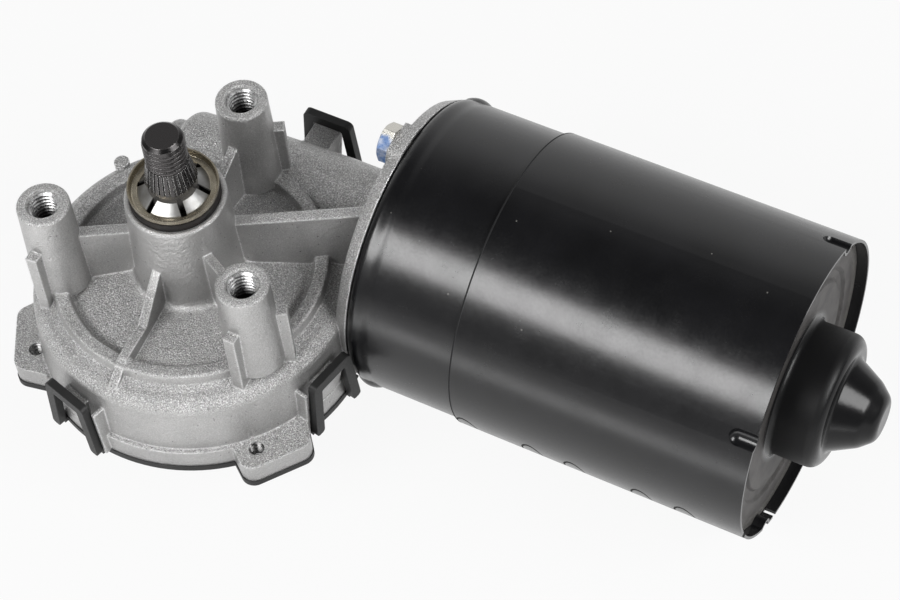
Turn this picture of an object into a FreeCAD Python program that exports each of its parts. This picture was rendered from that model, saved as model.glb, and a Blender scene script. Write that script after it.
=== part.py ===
import FreeCAD, Part
import math
import os
from FreeCAD import Vector

# Wiper motor: a die-cast worm gearbox with three tapped mounting posts, and a round motor beside it.
# Millimetres. The origin lies on the output shaft's axis in the plane of the three post tops,
# +Z runs out along the output shaft, and +X runs along the motor towards its closed end.

# Mounting posts and ears
post_circle_radius = 32.5
post_angles = (90.0, 210.0, 330.0)
post_top_radius = 6.65
post_root_radius = 7.4
post_root_z = -30.0
thread_major_diameter = 8.0
thread_depth = 20.0
thread_chamfer = 0.45
post_top_rounding = 0.8
post_rib_width = 3.0
post_rib_reach = 9.6
post_rib_splay = 60.0
ear_hole_radius = 2.0
ear_hole_relief = 0.45
ear_hole_relief_height = 6.0
ear_holes = ((-32.6, -28.7), (33.6, -30.4))
ear_corners = (
    [(-26.0, -20.0), (-38.0, -12.0), (-43.6, -20.6), (-35.0, -36.0), (-24.0, -34.0)],
    [(22.0, -22.0), (26.0, -31.4), (34.5, -37.9), (45.6, -23.2), (37.6, -13.6)],
)
ear_round = 3.5
ear_nick = (31.3, -28.6)
ear_nick_radius = 0.7

# Gear housing levels and radii
rib_top_z = -12.4
hub_top_radius = 12.7
hub_top_rounding = 0.8
hub_foot_rounding = 2.6
hub_root_radius = 13.9
deck_hub_z = -28.0
deck_rim_z = -31.0
ridge_z = -28.0
ridge_inner_radius = 31.6
ridge_outer_radius = 35.0
shoulder_z = -32.0
shoulder_radius = 37.2
wall_top_radius = 41.0
wall_top_z = -36.0
shoulder_rounding = 4.2
wall_foot_radius = 42.1
flange_top_z = -50.0
flange_radius = 43.4
housing_base_z = -56.0
casting_wall = 5.0
deck_underside_z = -34.0
rib_width = 3.0
web_width = 2.4
casting_chords = 5
cutter_reach = 200.0

# Worm drive
worm_axis_y = 38.0
worm_axis_z = -41.0
wheel_teeth = 54
worm_pitch_radius = 5.0
tooth_addendum = 1.1
tooth_root_clearance = 0.25
tooth_side_clearance = 0.14
pressure_angle = 20.0
worm_length = 28.0
wheel_rim_width = 9.0
wheel_rim_depth = 4.2
wheel_web_thickness = 3.2
wheel_hub_radius = 12.5
wheel_hub_rise = 1.4
wheel_insert_radius = 9.0

# Worm tunnel of the housing
tunnel_bore_clearance = 0.5
tunnel_tail_radius = 11.1
tunnel_middle_radius = 12.9
tunnel_head_radius = 13.7
tunnel_tail_x = -26.0
tail_boss_radius = 7.3
tail_boss_end_x = -31.0
tail_bore_radius = 5.5
tail_bore_x = -15.5
screw_bore_x = -23.5
screw_radius = 4.0

# Motor flange of the housing
motor_flange_x = 39.8
motor_flange_inset = 0.8
motor_flange_draft = 1.5
motor_start_x = 43.4
spigot_inset = 9.7
spigot_length = 5.6
flare_start_x = 33.0
flare_radius = 22.0
bolt_circle_inset = 4.2
bolt_angles = (86.0, 266.0)
bolt_radius = 2.5
bolt_boss_radius = 6.1
bolt_boss_rise = 0.4
bolt_boss_overhang = 0.3
bolt_head_height = 3.5
bolt_head_flats = 9.0

# Output shaft
shaft_top_z = 23.2
shaft_thread_radius = 5.0
shaft_thread_foot_z = 14.0
shaft_tip_chamfer = 0.9
cone_top_radius = 5.35
cone_foot_radius = 6.55
cone_foot_z = 7.5
cone_teeth = 30
cone_tooth_depth = 0.5
journal_radius = 6.2
wheel_seat_radius = 6.0
shaft_end_z = -48.0
running_clearance = 0.05

# Bushes, seal and spring washer on the output shaft
hub_bore_radius = 8.2
upper_bush_top_z = -2.2
upper_bush_length = 11.0
lower_bush_length = 12.0
seal_recess_radius = 11.4
seal_recess_z = -2.0
seal_top_z = 1.6
seal_lip_clearance = 0.15
washer_rim_radius = 11.35
washer_rim_z = 4.1
washer_sheet = 0.55
washer_flat_z = 2.4
washer_petals = 6
washer_slot_width = 1.5
washer_slot_radius = 9.2
washer_slot_start = 17.0
thrust_washer_radius = 10.5
axial_play = 0.15

# Housing cover, gasket and park switch
cover_thickness = 1.8
cover_overhang = 0.3
cover_lip_height = 3.0
cover_lip_thickness = 1.2
cover_lip_clearance = 0.5
gasket_outer_radius = 39.0
gasket_width = 1.4
gasket_inner_radius = gasket_outer_radius - gasket_width
gasket_height = 1.2
gasket_groove_clearance = 0.2
loop_angles = (254.3, 348.4)
rear_loop_x = 5.2
rear_loop_y = 59.8
loop_top_z = -37.3
loop_foot_z = -57.0
loop_bar = 3.0
loop_leg = 2.8
loop_thickness = 2.2
loop_top_half = 6.9
loop_foot_half = 8.5
loop_gap = 0.4
loop_round = 1.6
guide_sides = (1, -1)
guide_gap = 0.5
guide_width = 0.9
guide_proud = 0.3
lug_clearance = 0.35
plate_radius = 31.0
plate_z = -51.5
plate_thickness = 1.5
plate_window_radius = 8.5
plate_post_radius = 2.2
plate_post_circle = 27.0
plate_pin_radius = 1.2
plate_pin_clearance = 0.15
track_radii = (16.0, 21.0, 26.0)
track_disc_thickness = 0.6
track_disc_inner = 13.6
track_disc_outer = 28.4
contact_gap = 0.2
finger_width = 2.4
finger_sheet = 0.4
finger_length = 16.0
socket_centre = (-15.0, 14.0)
socket_size = (27.0, 13.0)
socket_wall = 1.5
socket_depth = 13.0
pin_count = 5
pin_pitch = 4.8
pin_section = (2.8, 0.8)
pin_clearance = 0.1

# Motor case
tube_radius = 38.6
tube_wall = 2.2
tube_corner = 2.5
bump_angles = (145.5, -28.0)
bump_radius = 6.0
bump_rise = 0.9
bump_x = 47.0
ring_start_x = 73.3
ring_wall = 0.75
ring_clearance = 0.05
motor_end_x = 152.0
plate_recess = 3.0
end_plate_thickness = 1.6
cup_radius = 17.5
cup_face_x = 161.8
nose_base_radius = 12.4
nose_end_radius = 8.7
nose_end_x = 168.8
nose_tip_x = 172.5
nose_tip_rounding = 3.4
cup_shoulder = 3.2
plate_groove = (27.4, 31.2)
plate_groove_depth = 0.8
lip_gap_angles = ((212.0, 264.5), (293.4, 296.2))
crimp_angles = (34.5, 124.5, 214.5, 304.5)
crimp_length = 6.8
crimp_radius = 2.4
crimp_depth = 1.7

# Motor inside
armature_shaft_radius = 4.0
tail_journal_radius = 3.0
shaft_tail_x = -21.6
shaft_head_x = 167.8
bearing_width = 7.0
bearing_outer_radius = 11.0
bearing_start_x = 30.0
magnet_count = 4
magnet_thickness = 7.5
magnet_arc = 68.0
magnet_overlap = 4.0
magnet_slip = 0.1
clip_arc = 16.0
air_gap = 0.8
slot_count = 12
slot_opening = 2.0
tooth_tip_height = 2.2
pole_neck_width = 5.2
stack_core_radius = 11.0
winding_overhang = 8.0
winding_slack = 0.2
winding_end_space = 11.4
commutator_radius = 12.5
commutator_length = 18.0
commutator_offset = 4.6
commutator_space = 3.0
commutator_core_radius = 8.5
commutator_gap_width = 0.7
riser_radius = 14.2
riser_length = 2.4
brush_plate_thickness = 2.5
brush_plate_window = 16.0
brush_angles = (20.0, 110.0, 245.0)
brush_section = (6.0, 5.0)
brush_length = 11.0
brush_gap = 0.15
brush_offset_x = 5.6
holder_wall = 0.9
holder_clearance = 0.15
spring_sheet = 0.4
choke_radius = 2.6
choke_length = 17.0
end_bush_radius = 8.2
end_bush_length = 7.2
end_bush_inset = 3.6

# Sizes that follow from those above
motor_flange_radius = tube_radius - motor_flange_inset
spigot_radius = tube_radius - spigot_inset
bolt_circle_radius = tube_radius - bolt_circle_inset
bolt_boss_limit = tube_radius - bolt_boss_overhang
worm_lead = 2 * math.pi * (worm_axis_y - worm_pitch_radius) / wheel_teeth
wheel_pitch_radius = worm_axis_y - worm_pitch_radius
wheel_tip_radius = wheel_pitch_radius + tooth_addendum
wheel_root_radius = wheel_pitch_radius - tooth_addendum - tooth_root_clearance
worm_tip_radius = worm_pitch_radius + tooth_addendum
worm_root_radius = worm_pitch_radius - tooth_addendum - tooth_root_clearance
lead_angle = math.degrees(math.atan(worm_lead / (2 * math.pi * worm_pitch_radius)))
wheel_top_z = worm_axis_z + wheel_rim_width / 2
wheel_bottom_z = worm_axis_z - wheel_rim_width / 2
wheel_hub_top_z = wheel_top_z + wheel_hub_rise
tunnel_bore_radius = worm_tip_radius + tunnel_bore_clearance
thread_radius = thread_major_diameter / 2
cavity_radius = wall_foot_radius - casting_wall
cover_bottom_z = housing_base_z - cover_thickness
plate_top_z = plate_z + plate_thickness
web_top_z = wheel_bottom_z + wheel_web_thickness
track_disc_z = wheel_bottom_z - track_disc_thickness
spigot_end_x = motor_start_x + spigot_length
tube_bore_radius = tube_radius - tube_wall
ring_inner_radius = tube_radius + ring_clearance
ring_radius = ring_inner_radius + ring_wall
end_face_x = motor_end_x - plate_recess
tube_end_x = end_face_x - end_plate_thickness
brush_plate_x = spigot_end_x + brush_plate_thickness
commutator_start_x = brush_plate_x + commutator_offset
commutator_span = (commutator_start_x, commutator_start_x + commutator_length)
stack_start_x = commutator_span[1] + commutator_space + winding_overhang
stack_span = (stack_start_x, tube_end_x - winding_end_space - winding_overhang)
magnet_span = (stack_span[0] - magnet_overlap, stack_span[1] + magnet_overlap)
magnet_inner_radius = tube_bore_radius - magnet_slip - magnet_thickness
stack_radius = magnet_inner_radius - air_gap
end_bush_span = (cup_face_x - end_bush_inset - 1.2, cup_face_x - end_bush_inset - 1.2 + end_bush_length)
below_all = cover_bottom_z - cutter_reach


def put(name, shape):
    """Write one sub-part's solids as a STEP file."""
    if not shape.isValid():
        raise ValueError(name + " is not valid")
    print(name, len(shape.Solids), round(shape.Volume, 1))
    shape.exportStep("parts/" + name + ".step")


def join(*shapes):
    """Fuse shapes into one and merge their coplanar faces."""
    return shapes[0].multiFuse(list(shapes[1:])).removeSplitter()


def cut(shape, *tools):
    """Take several tools away from a shape."""
    for tool in tools:
        shape = shape.cut(tool)
    return shape


def polar(radius, angle, z=0.0):
    """A point at a radius and angle about the output shaft."""
    return Vector(radius * math.cos(math.radians(angle)), radius * math.sin(math.radians(angle)), z)


def upright(radius, z_low, z_high, x=0.0, y=0.0):
    """A cylinder that stands along Z."""
    return Part.makeCylinder(radius, z_high - z_low, Vector(x, y, z_low))


def upright_ring(outer, inner, z_low, z_high):
    """A ring about the output shaft."""
    return upright(outer, z_low, z_high).cut(upright(inner, z_low - 1, z_high + 1))


def lying(radius, x_low, x_high):
    """A cylinder about the motor's axis."""
    return Part.makeCylinder(radius, x_high - x_low, Vector(x_low, worm_axis_y, worm_axis_z), Vector(1, 0, 0))


def lying_ring(outer, inner, x_low, x_high):
    """A ring about the motor's axis."""
    return lying(outer, x_low, x_high).cut(lying(inner, x_low - 1, x_high + 1))


def block(x_low, x_high, y_low, y_high, z_low, z_high):
    """A box between two corners."""
    return Part.makeBox(x_high - x_low, y_high - y_low, z_high - z_low, Vector(x_low, y_low, z_low))


def face_of(points):
    """A flat face inside a closed run of points."""
    return Part.Face(Part.makePolygon(points + [points[0]]))


def prism(outline, z_low, z_high):
    """An upright prism on an outline in plan."""
    return face_of([Vector(x, y, z_low) for x, y in outline]).extrude(Vector(0, 0, z_high - z_low))


def rounded_face(corners, place, chords=0):
    """A flat face on a closed run of corners, each a pair of lengths with an optional rounding."""
    starts, arcs, ends = [], [], []
    for i, corner in enumerate(corners):
        here = Vector(corner[0], corner[1], 0)
        rounding = corner[2] if len(corner) > 2 else 0
        back = (Vector(corners[i - 1][0], corners[i - 1][1], 0) - here).normalize()
        ahead = corners[(i + 1) % len(corners)]
        forth = (Vector(ahead[0], ahead[1], 0) - here).normalize()
        if not rounding:
            starts.append(here)
            arcs.append(None)
            ends.append(here)
            continue
        half = back.getAngle(forth) / 2
        inward = (back + forth).normalize()
        run = rounding / math.tan(half)
        starts.append(here + back * run)
        arcs.append(here + inward * (rounding / math.sin(half) - rounding))
        ends.append(here + forth * run)
    edges = []
    for i, middle in enumerate(arcs):
        if middle is not None:
            arc = Part.Arc(*[place(p.x, p.y) for p in (starts[i], middle, ends[i])]).toShape()
            edges += Part.makePolygon(arc.discretize(chords + 1)).Edges if chords else [arc]
        after = starts[(i + 1) % len(starts)]
        if ends[i].distanceToPoint(after) > 1e-6:
            edges.append(Part.makeLine(place(ends[i].x, ends[i].y), place(after.x, after.y)))
    return Part.Face(Part.Wire(edges))


def turned_profile(outline, chords=0, centre=Vector()):
    """A solid turned about an upright axis from corners of radius, height and rounding."""
    face = rounded_face(outline, lambda r, z: centre + Vector(r, 0, z), chords)
    return face.revolve(centre, Vector(0, 0, 1), 360)


def motor_profile(outline, chords=0):
    """A solid turned about the motor's axis from corners of length, radius and rounding."""
    face = rounded_face(outline, lambda x, r: Vector(x, worm_axis_y + r, worm_axis_z), chords)
    return face.revolve(Vector(0, worm_axis_y, worm_axis_z), Vector(1, 0, 0), 360)


def about_shaft(shape, angle):
    """A copy turned about the output shaft."""
    copy = shape.copy()
    copy.rotate(Vector(), Vector(0, 0, 1), angle)
    return copy


def about_motor(shape, angle):
    """A copy turned about the motor's axis, from -Y towards +Z."""
    copy = shape.copy()
    copy.rotate(Vector(0, worm_axis_y, worm_axis_z), Vector(1, 0, 0), -angle)
    return copy


def radial_wall(outline, width, angle):
    """An upright wall along a radius, from points of radius and height."""
    face = face_of([Vector(r, -width / 2, z) for r, z in outline])
    return about_shaft(face.extrude(Vector(0, width, 0)), angle)


def ear_outline(corners, grow):
    """The corners of an ear, moved out from their middle."""
    middle = Vector(sum(c[0] for c in corners), sum(c[1] for c in corners), 0) / len(corners)
    moved = []
    for x, y in corners:
        out = Vector(x, y, 0) - middle
        point = Vector(x, y, 0) + out / out.Length * grow
        moved.append((point.x, point.y))
    return moved


def base_slab(grow, z_low, z_high):
    """The flange outline shared by the housing's foot and the cover: disc, two ears and rear lobe."""
    slab = upright(flange_radius + grow, z_low, z_high)
    for corners in ear_corners:
        ear = prism(ear_outline(corners, grow), z_low, z_high)
        sharp = [e for e in ear.Edges if abs(e.tangentAt(e.FirstParameter).z) > 0.99
                 and e.CenterOfMass.sub(Vector(0, 0, e.CenterOfMass.z)).Length > flange_radius]
        slab = slab.fuse(ear.makeFillet(ear_round, sharp))
    lobe_half = loop_foot_half + grow
    lobe_edge = rear_loop_y - loop_gap + grow
    lobe = block(rear_loop_x - lobe_half, rear_loop_x + lobe_half, worm_axis_y - 8, lobe_edge, z_low, z_high)
    return slab.fuse(lobe).removeSplitter()


def loop_places():
    """Where each snap loop sits: turn about the shaft, distance out and sideways shift."""
    inner = flange_radius + loop_gap
    return [(angle, inner, 0.0) for angle in loop_angles] + [(90.0, rear_loop_y, -rear_loop_x)]


def splayed_plate(distance, thickness, corners):
    """A plate that faces +X, from corners of sideways place, height and rounding."""
    face = rounded_face(corners, lambda y, z: Vector(distance, y, z))
    return face.extrude(Vector(thickness, 0, 0))


def snap_loop(distance, shift):
    """One snap loop of the cover, facing +X: two splayed legs and a bar, rounded at its corners."""
    spread = (loop_foot_half - loop_top_half) / (loop_top_z - loop_foot_z)
    inner_top = loop_top_half - loop_leg + spread * loop_bar
    inner_foot = loop_foot_half - loop_leg
    bar_z = loop_top_z - loop_bar
    corners = [(-loop_foot_half, loop_foot_z, 1.0), (-loop_top_half, loop_top_z, loop_round),
               (loop_top_half, loop_top_z, loop_round), (loop_foot_half, loop_foot_z, 1.0),
               (inner_foot, loop_foot_z, 1.0), (inner_top, bar_z, 0.6), (-inner_top, bar_z, 0.6),
               (-inner_foot, loop_foot_z, 1.0)]
    body = splayed_plate(distance, loop_thickness, [(shift + y, z, r) for y, z, r in corners])
    feet = []
    for side in (-1, 1):
        y_far = side * (loop_foot_half - 0.2)
        y_near = side * (loop_foot_half - loop_leg + 0.3)
        low, high = sorted((y_far, y_near))
        feet.append(block(distance - 2.5, distance + 0.4, shift + low, shift + high,
                          cover_bottom_z, housing_base_z))
    return join(body, *feet)


def loop_lug(distance, shift, root):
    """The casting's catch inside a loop's window, a wedge that the bar snaps over."""
    top = loop_top_z - loop_bar - lug_clearance
    foot = top - 9.0
    edge = distance + loop_thickness
    outline = [(root, top), (edge - 0.5, top), (distance - loop_gap, foot), (root, foot)]
    half = loop_top_half - loop_leg - lug_clearance
    face = face_of([Vector(r, shift - half, z) for r, z in outline])
    return face.extrude(Vector(0, 2 * half, 0))


def loop_guide(distance, side):
    """The casting's upright rib beside one leg of a loop."""
    near_top, near_foot = loop_top_half + guide_gap, loop_foot_half + guide_gap
    spread = (near_foot - near_top) / (loop_top_z - loop_foot_z)
    top = loop_top_z - 3.0
    foot = housing_base_z
    y_top = near_top + spread * (loop_top_z - top)
    y_foot = near_top + spread * (loop_top_z - foot)
    corners = [(side * y_top, top), (side * (y_top + guide_width), top), (side * (y_foot + guide_width), foot),
               (side * y_foot, foot)]
    root = cavity_radius + 1
    return splayed_plate(root, distance + guide_proud - root, corners)


def mounting_post(angle):
    """A tapered post with two corner ribs on its outer side."""
    centre = polar(post_circle_radius, angle)
    pieces = [turned_profile([(0, 0), (post_top_radius, 0, post_top_rounding), (post_root_radius, post_root_z),
                              (0, post_root_z)], casting_chords, centre)]
    for splay in (-post_rib_splay, post_rib_splay):
        rib = block(0, post_rib_reach, -post_rib_width / 2, post_rib_width / 2, wall_top_z, rib_top_z + 0.6)
        rib.rotate(Vector(), Vector(0, 0, 1), angle + splay)
        rib.translate(centre)
        pieces.append(rib)
    return pieces


def post_bore(angle):
    """The tapped bore of a post, with its mouth chamfer."""
    centre = polar(post_circle_radius, angle)
    bore = upright(thread_radius, -thread_depth, 1, centre.x, centre.y)
    mouth = Part.makeCone(thread_radius, thread_radius + 2 * thread_chamfer, 2 * thread_chamfer,
                          centre + Vector(0, 0, -thread_chamfer))
    return bore.fuse(mouth)


def gear_housing():
    """The die-cast housing: hub, dished deck, ridge, shoulder, wall, flange, posts, ribs and tunnel."""
    shell = turned_profile([
        (0, 0), (hub_top_radius, 0, hub_top_rounding), (hub_root_radius, deck_hub_z, hub_foot_rounding),
        (ridge_inner_radius - 0.8, deck_rim_z, 1.2), (ridge_inner_radius, ridge_z, 0.6),
        (ridge_outer_radius, ridge_z, 0.6), (ridge_outer_radius + 0.3, deck_rim_z, 0.5),
        (shoulder_radius, shoulder_z, 1.0), (wall_top_radius, shoulder_z - 0.3, shoulder_rounding),
        (wall_foot_radius, flange_top_z), (wall_foot_radius, housing_base_z), (0, housing_base_z)],
        casting_chords)
    tunnel = motor_profile([(tunnel_tail_x, 0), (tunnel_tail_x, tunnel_tail_radius, 3.0),
                            (-1.0, tunnel_middle_radius), (20.0, tunnel_head_radius),
                            (flare_start_x, tunnel_head_radius, 4.0), (motor_flange_x, flare_radius, 1.0),
                            (motor_flange_x, 0)], casting_chords)
    tail_boss = motor_profile([(tail_boss_end_x, 0), (tail_boss_end_x, tail_boss_radius, 2.0),
                               (tunnel_tail_x + 2, tail_boss_radius), (tunnel_tail_x + 2, 0)], casting_chords)
    flange = motor_profile([(motor_flange_x, 0),
                            (motor_flange_x, motor_flange_radius - motor_flange_draft, 0.8),
                            (motor_start_x, motor_flange_radius), (motor_start_x, 0)], casting_chords)
    spigot = lying(spigot_radius, motor_start_x, spigot_end_x)
    pieces = [base_slab(0, housing_base_z, flange_top_z), tunnel, tail_boss, flange, spigot]
    for angle in post_angles:
        pieces += mounting_post(angle)
    for angle in bolt_angles:
        boss = lying(bolt_boss_radius, motor_flange_x - bolt_boss_rise, motor_start_x)
        boss.translate(Vector(0, bolt_circle_radius * math.cos(math.radians(angle)),
                              bolt_circle_radius * math.sin(math.radians(angle))))
        pieces.append(boss.common(lying(bolt_boss_limit, 0, motor_start_x)))
    long_rib_end = motor_flange_x / math.cos(math.radians(30)) + 2
    long_rib = radial_wall([(8, rib_top_z), (long_rib_end, rib_top_z), (long_rib_end, worm_axis_z),
                            (8, worm_axis_z)], rib_width, 30)
    pieces.append(long_rib.common(block(0, motor_start_x, 0, cutter_reach, below_all, 0)))
    pieces.append(radial_wall([(8, rib_top_z), (28, rib_top_z), (28, deck_underside_z), (8, deck_underside_z)],
                              rib_width, 210))
    pieces.append(radial_wall([(10, -18.8), (28, -10.6), (28, deck_underside_z), (10, deck_underside_z)],
                              web_width, 90))
    pieces.append(radial_wall([(10, -10.9), (28, -7.8), (28, deck_underside_z), (10, deck_underside_z)],
                              web_width, 330))
    pieces.append(radial_wall([(10, -12.6), (14.5, -16.6), (23.2, -26.4), (33, -27.2), (38.4, -31.2),
                               (40.0, -33.4), (38, -36), (10, -34)], web_width, 270))
    bump = polar(40.3, 147.6)
    pieces.append(upright(2.0, wall_top_z - 4, shoulder_z + 0.6, bump.x, bump.y))
    for (angle, distance, shift), root in zip(loop_places(), (cavity_radius + 1, cavity_radius + 1, 48.0)):
        pieces.append(about_shaft(loop_lug(distance, shift, root), angle))
    for angle, side in zip(loop_angles, guide_sides):
        pieces.append(about_shaft(loop_guide(flange_radius + loop_gap, side), angle))
    body = join(shell, *pieces)

    cavity = turned_profile([(0, deck_underside_z), (cavity_radius - 0.8, deck_underside_z, 3.0),
                             (cavity_radius, housing_base_z - 1), (0, housing_base_z - 1)], casting_chords)
    inner_boss = upright(thrust_washer_radius, deck_underside_z - 1, deck_underside_z + 1)
    body = body.cut(cavity).fuse(inner_boss.common(upright(thrust_washer_radius, deck_underside_z - 0.6, 0)))
    tools = [lying(tunnel_bore_radius, tail_bore_x, motor_start_x), lying(tail_bore_radius, screw_bore_x, 0),
             lying(screw_radius, tail_boss_end_x - 1, 0),
             lying(bearing_outer_radius, bearing_start_x, spigot_end_x + 1),
             lying(spigot_radius - 3, motor_start_x, spigot_end_x + 1),
             upright(hub_bore_radius, below_all, 1), upright(seal_recess_radius, seal_recess_z, 1),
             upright(ear_nick_radius, flange_top_z, flange_top_z + 3.5, *ear_nick)]
    tools += [post_bore(angle) for angle in post_angles]
    for x, y in ear_holes:
        tools.append(upright(ear_hole_radius, below_all, flange_top_z, x, y))
        tools.append(upright(ear_hole_radius + ear_hole_relief, flange_top_z,
                             flange_top_z + ear_hole_relief_height, x, y))
    for angle in bolt_angles:
        hole = lying(bolt_radius + 0.3, motor_flange_x - 5, motor_start_x + 1)
        hole.translate(Vector(0, bolt_circle_radius * math.cos(math.radians(angle)),
                              bolt_circle_radius * math.sin(math.radians(angle))))
        tools.append(hole)
    body = cut(body, *tools)
    return body.removeSplitter()


def housing_cover():
    """The moulded cover: plate, locating lip, three snap loops, switch posts and connector shroud."""
    plate = base_slab(cover_overhang, cover_bottom_z, housing_base_z)
    lip_radius = cavity_radius - cover_lip_clearance
    lip = upright_ring(lip_radius, lip_radius - cover_lip_thickness, housing_base_z - 0.5,
                       housing_base_z + cover_lip_height)
    pieces = [lip]
    for angle, distance, shift in loop_places():
        pieces.append(about_shaft(snap_loop(distance, shift), angle))
    for angle in post_angles:
        spot = polar(plate_post_circle, angle)
        pieces.append(upright(plate_post_radius, housing_base_z - 0.5, plate_z, spot.x, spot.y))
        pieces.append(upright(plate_pin_radius, plate_z - 1, plate_top_z + 0.6, spot.x, spot.y))
    pieces.append(upright(4.0, housing_base_z - 0.5, shaft_end_z - axial_play))
    half_x, half_y = socket_size[0] / 2, socket_size[1] / 2
    cx, cy = socket_centre
    foot = cover_bottom_z - socket_depth
    shroud = block(cx - half_x, cx + half_x, cy - half_y, cy + half_y, foot, cover_bottom_z + 0.5)
    shroud = shroud.makeFillet(2.0, [e for e in shroud.Edges if abs(e.tangentAt(e.FirstParameter).z) > 0.99])
    pieces.append(shroud)
    for angle in range(0, 360, 45):
        rib = radial_wall([(18, cover_bottom_z - 1.5), (34, cover_bottom_z - 1.5), (38, cover_bottom_z + 0.5),
                           (18, cover_bottom_z + 0.5)], 1.4, angle + 22.5)
        pieces.append(rib)
    body = join(plate, *pieces)
    hollow = block(cx - half_x + socket_wall, cx + half_x - socket_wall, cy - half_y + socket_wall,
                   cy + half_y - socket_wall, foot - 1, cover_bottom_z)
    tools = [hollow, upright_ring(gasket_outer_radius + gasket_groove_clearance,
                                  gasket_inner_radius - gasket_groove_clearance,
                                  housing_base_z - gasket_height, housing_base_z + 0.01)]
    tools += [upright(ear_hole_radius, below_all, housing_base_z + 1, x, y) for x, y in ear_holes]
    tools += [pin_blade(i, pin_clearance, cover_bottom_z - 1, housing_base_z + 1) for i in range(pin_count)]
    tools.append(lying(motor_flange_radius + loop_gap, motor_flange_x - loop_gap, motor_start_x + 1)
                 .common(block(0, cutter_reach, -cutter_reach, cutter_reach, below_all, housing_base_z)))
    return cut(body, *tools).removeSplitter()


def pin_blade(index, grow, z_low, z_high):
    """One connector blade, or its slot in the cover."""
    x = socket_centre[0] + (index - (pin_count - 1) / 2) * pin_pitch
    y = socket_centre[1]
    half_x, half_y = pin_section[0] / 2 + grow, pin_section[1] / 2 + grow
    return block(x - half_x, x + half_x, y - half_y, y + half_y, z_low, z_high)


def connector_pins():
    """The blades from the connector's mouth up to the switch plate."""
    low = cover_bottom_z - socket_depth + 3
    return Part.makeCompound([pin_blade(i, 0, low, plate_z) for i in range(pin_count)])


def cover_gasket():
    """The rubber ring in the cover's groove."""
    return upright_ring(gasket_outer_radius, gasket_inner_radius,
                        housing_base_z - gasket_height, housing_base_z)


def switch_plate():
    """The insulating plate that carries the park contacts."""
    plate = upright_ring(plate_radius, plate_window_radius, plate_z, plate_top_z)
    flat = block(14, 40, 12, 40, plate_z - 1, plate_top_z + 1)
    holes = [upright(plate_pin_radius + plate_pin_clearance, plate_z - 1, plate_top_z + 1, p.x, p.y)
             for p in (polar(plate_post_circle, a) for a in post_angles)]
    return cut(plate, flat, *holes)


def park_contacts():
    """Three bent spring fingers that ride on the track disc."""
    tip_z = track_disc_z - contact_gap
    fingers = []
    for radius in track_radii:
        outline = [(-finger_length - 5, plate_top_z), (-finger_length, plate_top_z),
                   (-1.4, tip_z - finger_sheet - 0.1), (0, tip_z - finger_sheet), (1.8, tip_z - 1.6),
                   (2.1, tip_z - 1.25), (0.1, tip_z), (-1.4, tip_z), (-finger_length - 0.2, plate_top_z + 0.45),
                   (-finger_length - 5, plate_top_z + 0.45)]
        face = face_of([Vector(x, -radius - finger_width / 2, z) for x, z in outline])
        fingers.append(face.extrude(Vector(0, finger_width, 0)))
    return Part.makeCompound(fingers)


def output_shaft():
    """The output shaft: threaded tip, serrated cone, ground journal and wheel seat."""
    body = turned_profile([
        (0, shaft_top_z), (shaft_thread_radius - shaft_tip_chamfer, shaft_top_z),
        (shaft_thread_radius, shaft_top_z - shaft_tip_chamfer), (shaft_thread_radius, shaft_thread_foot_z),
        (cone_top_radius, shaft_thread_foot_z), (cone_foot_radius, cone_foot_z), (journal_radius, cone_foot_z),
        (journal_radius, wheel_hub_top_z), (wheel_seat_radius, wheel_hub_top_z),
        (wheel_seat_radius, shaft_end_z + 1.2), (wheel_seat_radius - 1.2, shaft_end_z), (0, shaft_end_z)])
    slope = math.degrees(math.atan((cone_foot_radius - cone_top_radius) / (shaft_thread_foot_z - cone_foot_z)))
    half = math.pi * cone_foot_radius / cone_teeth * 0.72
    notch = face_of([Vector(cone_foot_radius - cone_tooth_depth, 0, cone_foot_z),
                     Vector(cone_foot_radius + 0.6, -half, cone_foot_z),
                     Vector(cone_foot_radius + 0.6, half, cone_foot_z)])
    notch = notch.extrude(Vector(0, 0, shaft_thread_foot_z - cone_foot_z + 2))
    notch.rotate(Vector(cone_foot_radius, 0, cone_foot_z), Vector(0, 1, 0), -slope)
    cutters = Part.makeCompound([about_shaft(notch, i * 360 / cone_teeth) for i in range(cone_teeth)])
    return body.cut(cutters)


def output_bush(top, length):
    """A sintered bush of the output shaft, pressed in the hub."""
    return upright_ring(hub_bore_radius, journal_radius + running_clearance, top - length, top)


def shaft_seal():
    """The rubber seal under the spring washer, with a lip towards the shaft."""
    inner = journal_radius + seal_lip_clearance
    outer = seal_recess_radius - 0.1
    return turned_profile([(inner, seal_recess_z), (outer, seal_recess_z),
                           (outer, seal_top_z - 0.5), (outer - 0.5, seal_top_z),
                           (outer - 1.4, seal_top_z), (outer - 2.0, seal_top_z - 0.8),
                           (inner + 0.6, seal_top_z - 0.8), (inner, seal_top_z - 1.4)])


def star_washer():
    """The push-on spring washer: turned-up rim, flat ring and six domed petals that grip the shaft."""
    t = washer_sheet
    flat = washer_flat_z
    grip = journal_radius + 0.02
    outer_side = [(washer_rim_radius, washer_rim_z), (washer_rim_radius - 0.3, flat - t, 0.9),
                  (8.9, flat - t, 0.5), (grip, flat + 1.5)]
    inner_side = [(grip, flat + 2.1), (9.0, flat, 0.8), (washer_rim_radius - t - 0.25, flat, 0.5),
                  (washer_rim_radius - t * 0.7, washer_rim_z)]
    body = turned_profile(outer_side + inner_side)
    half = washer_slot_width / 2
    slot = block(0, washer_slot_radius, -half, half, 0, washer_rim_z + 5)
    return body.cut(Part.makeCompound([about_shaft(slot, washer_slot_start + i * 360 / washer_petals)
                                       for i in range(washer_petals)]))


def thrust_washer():
    """The hard washer between the wheel's hub and the housing."""
    top = deck_underside_z - 0.6
    return upright_ring(thrust_washer_radius - 0.5, journal_radius + 0.3, top - 0.3, top)


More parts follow.
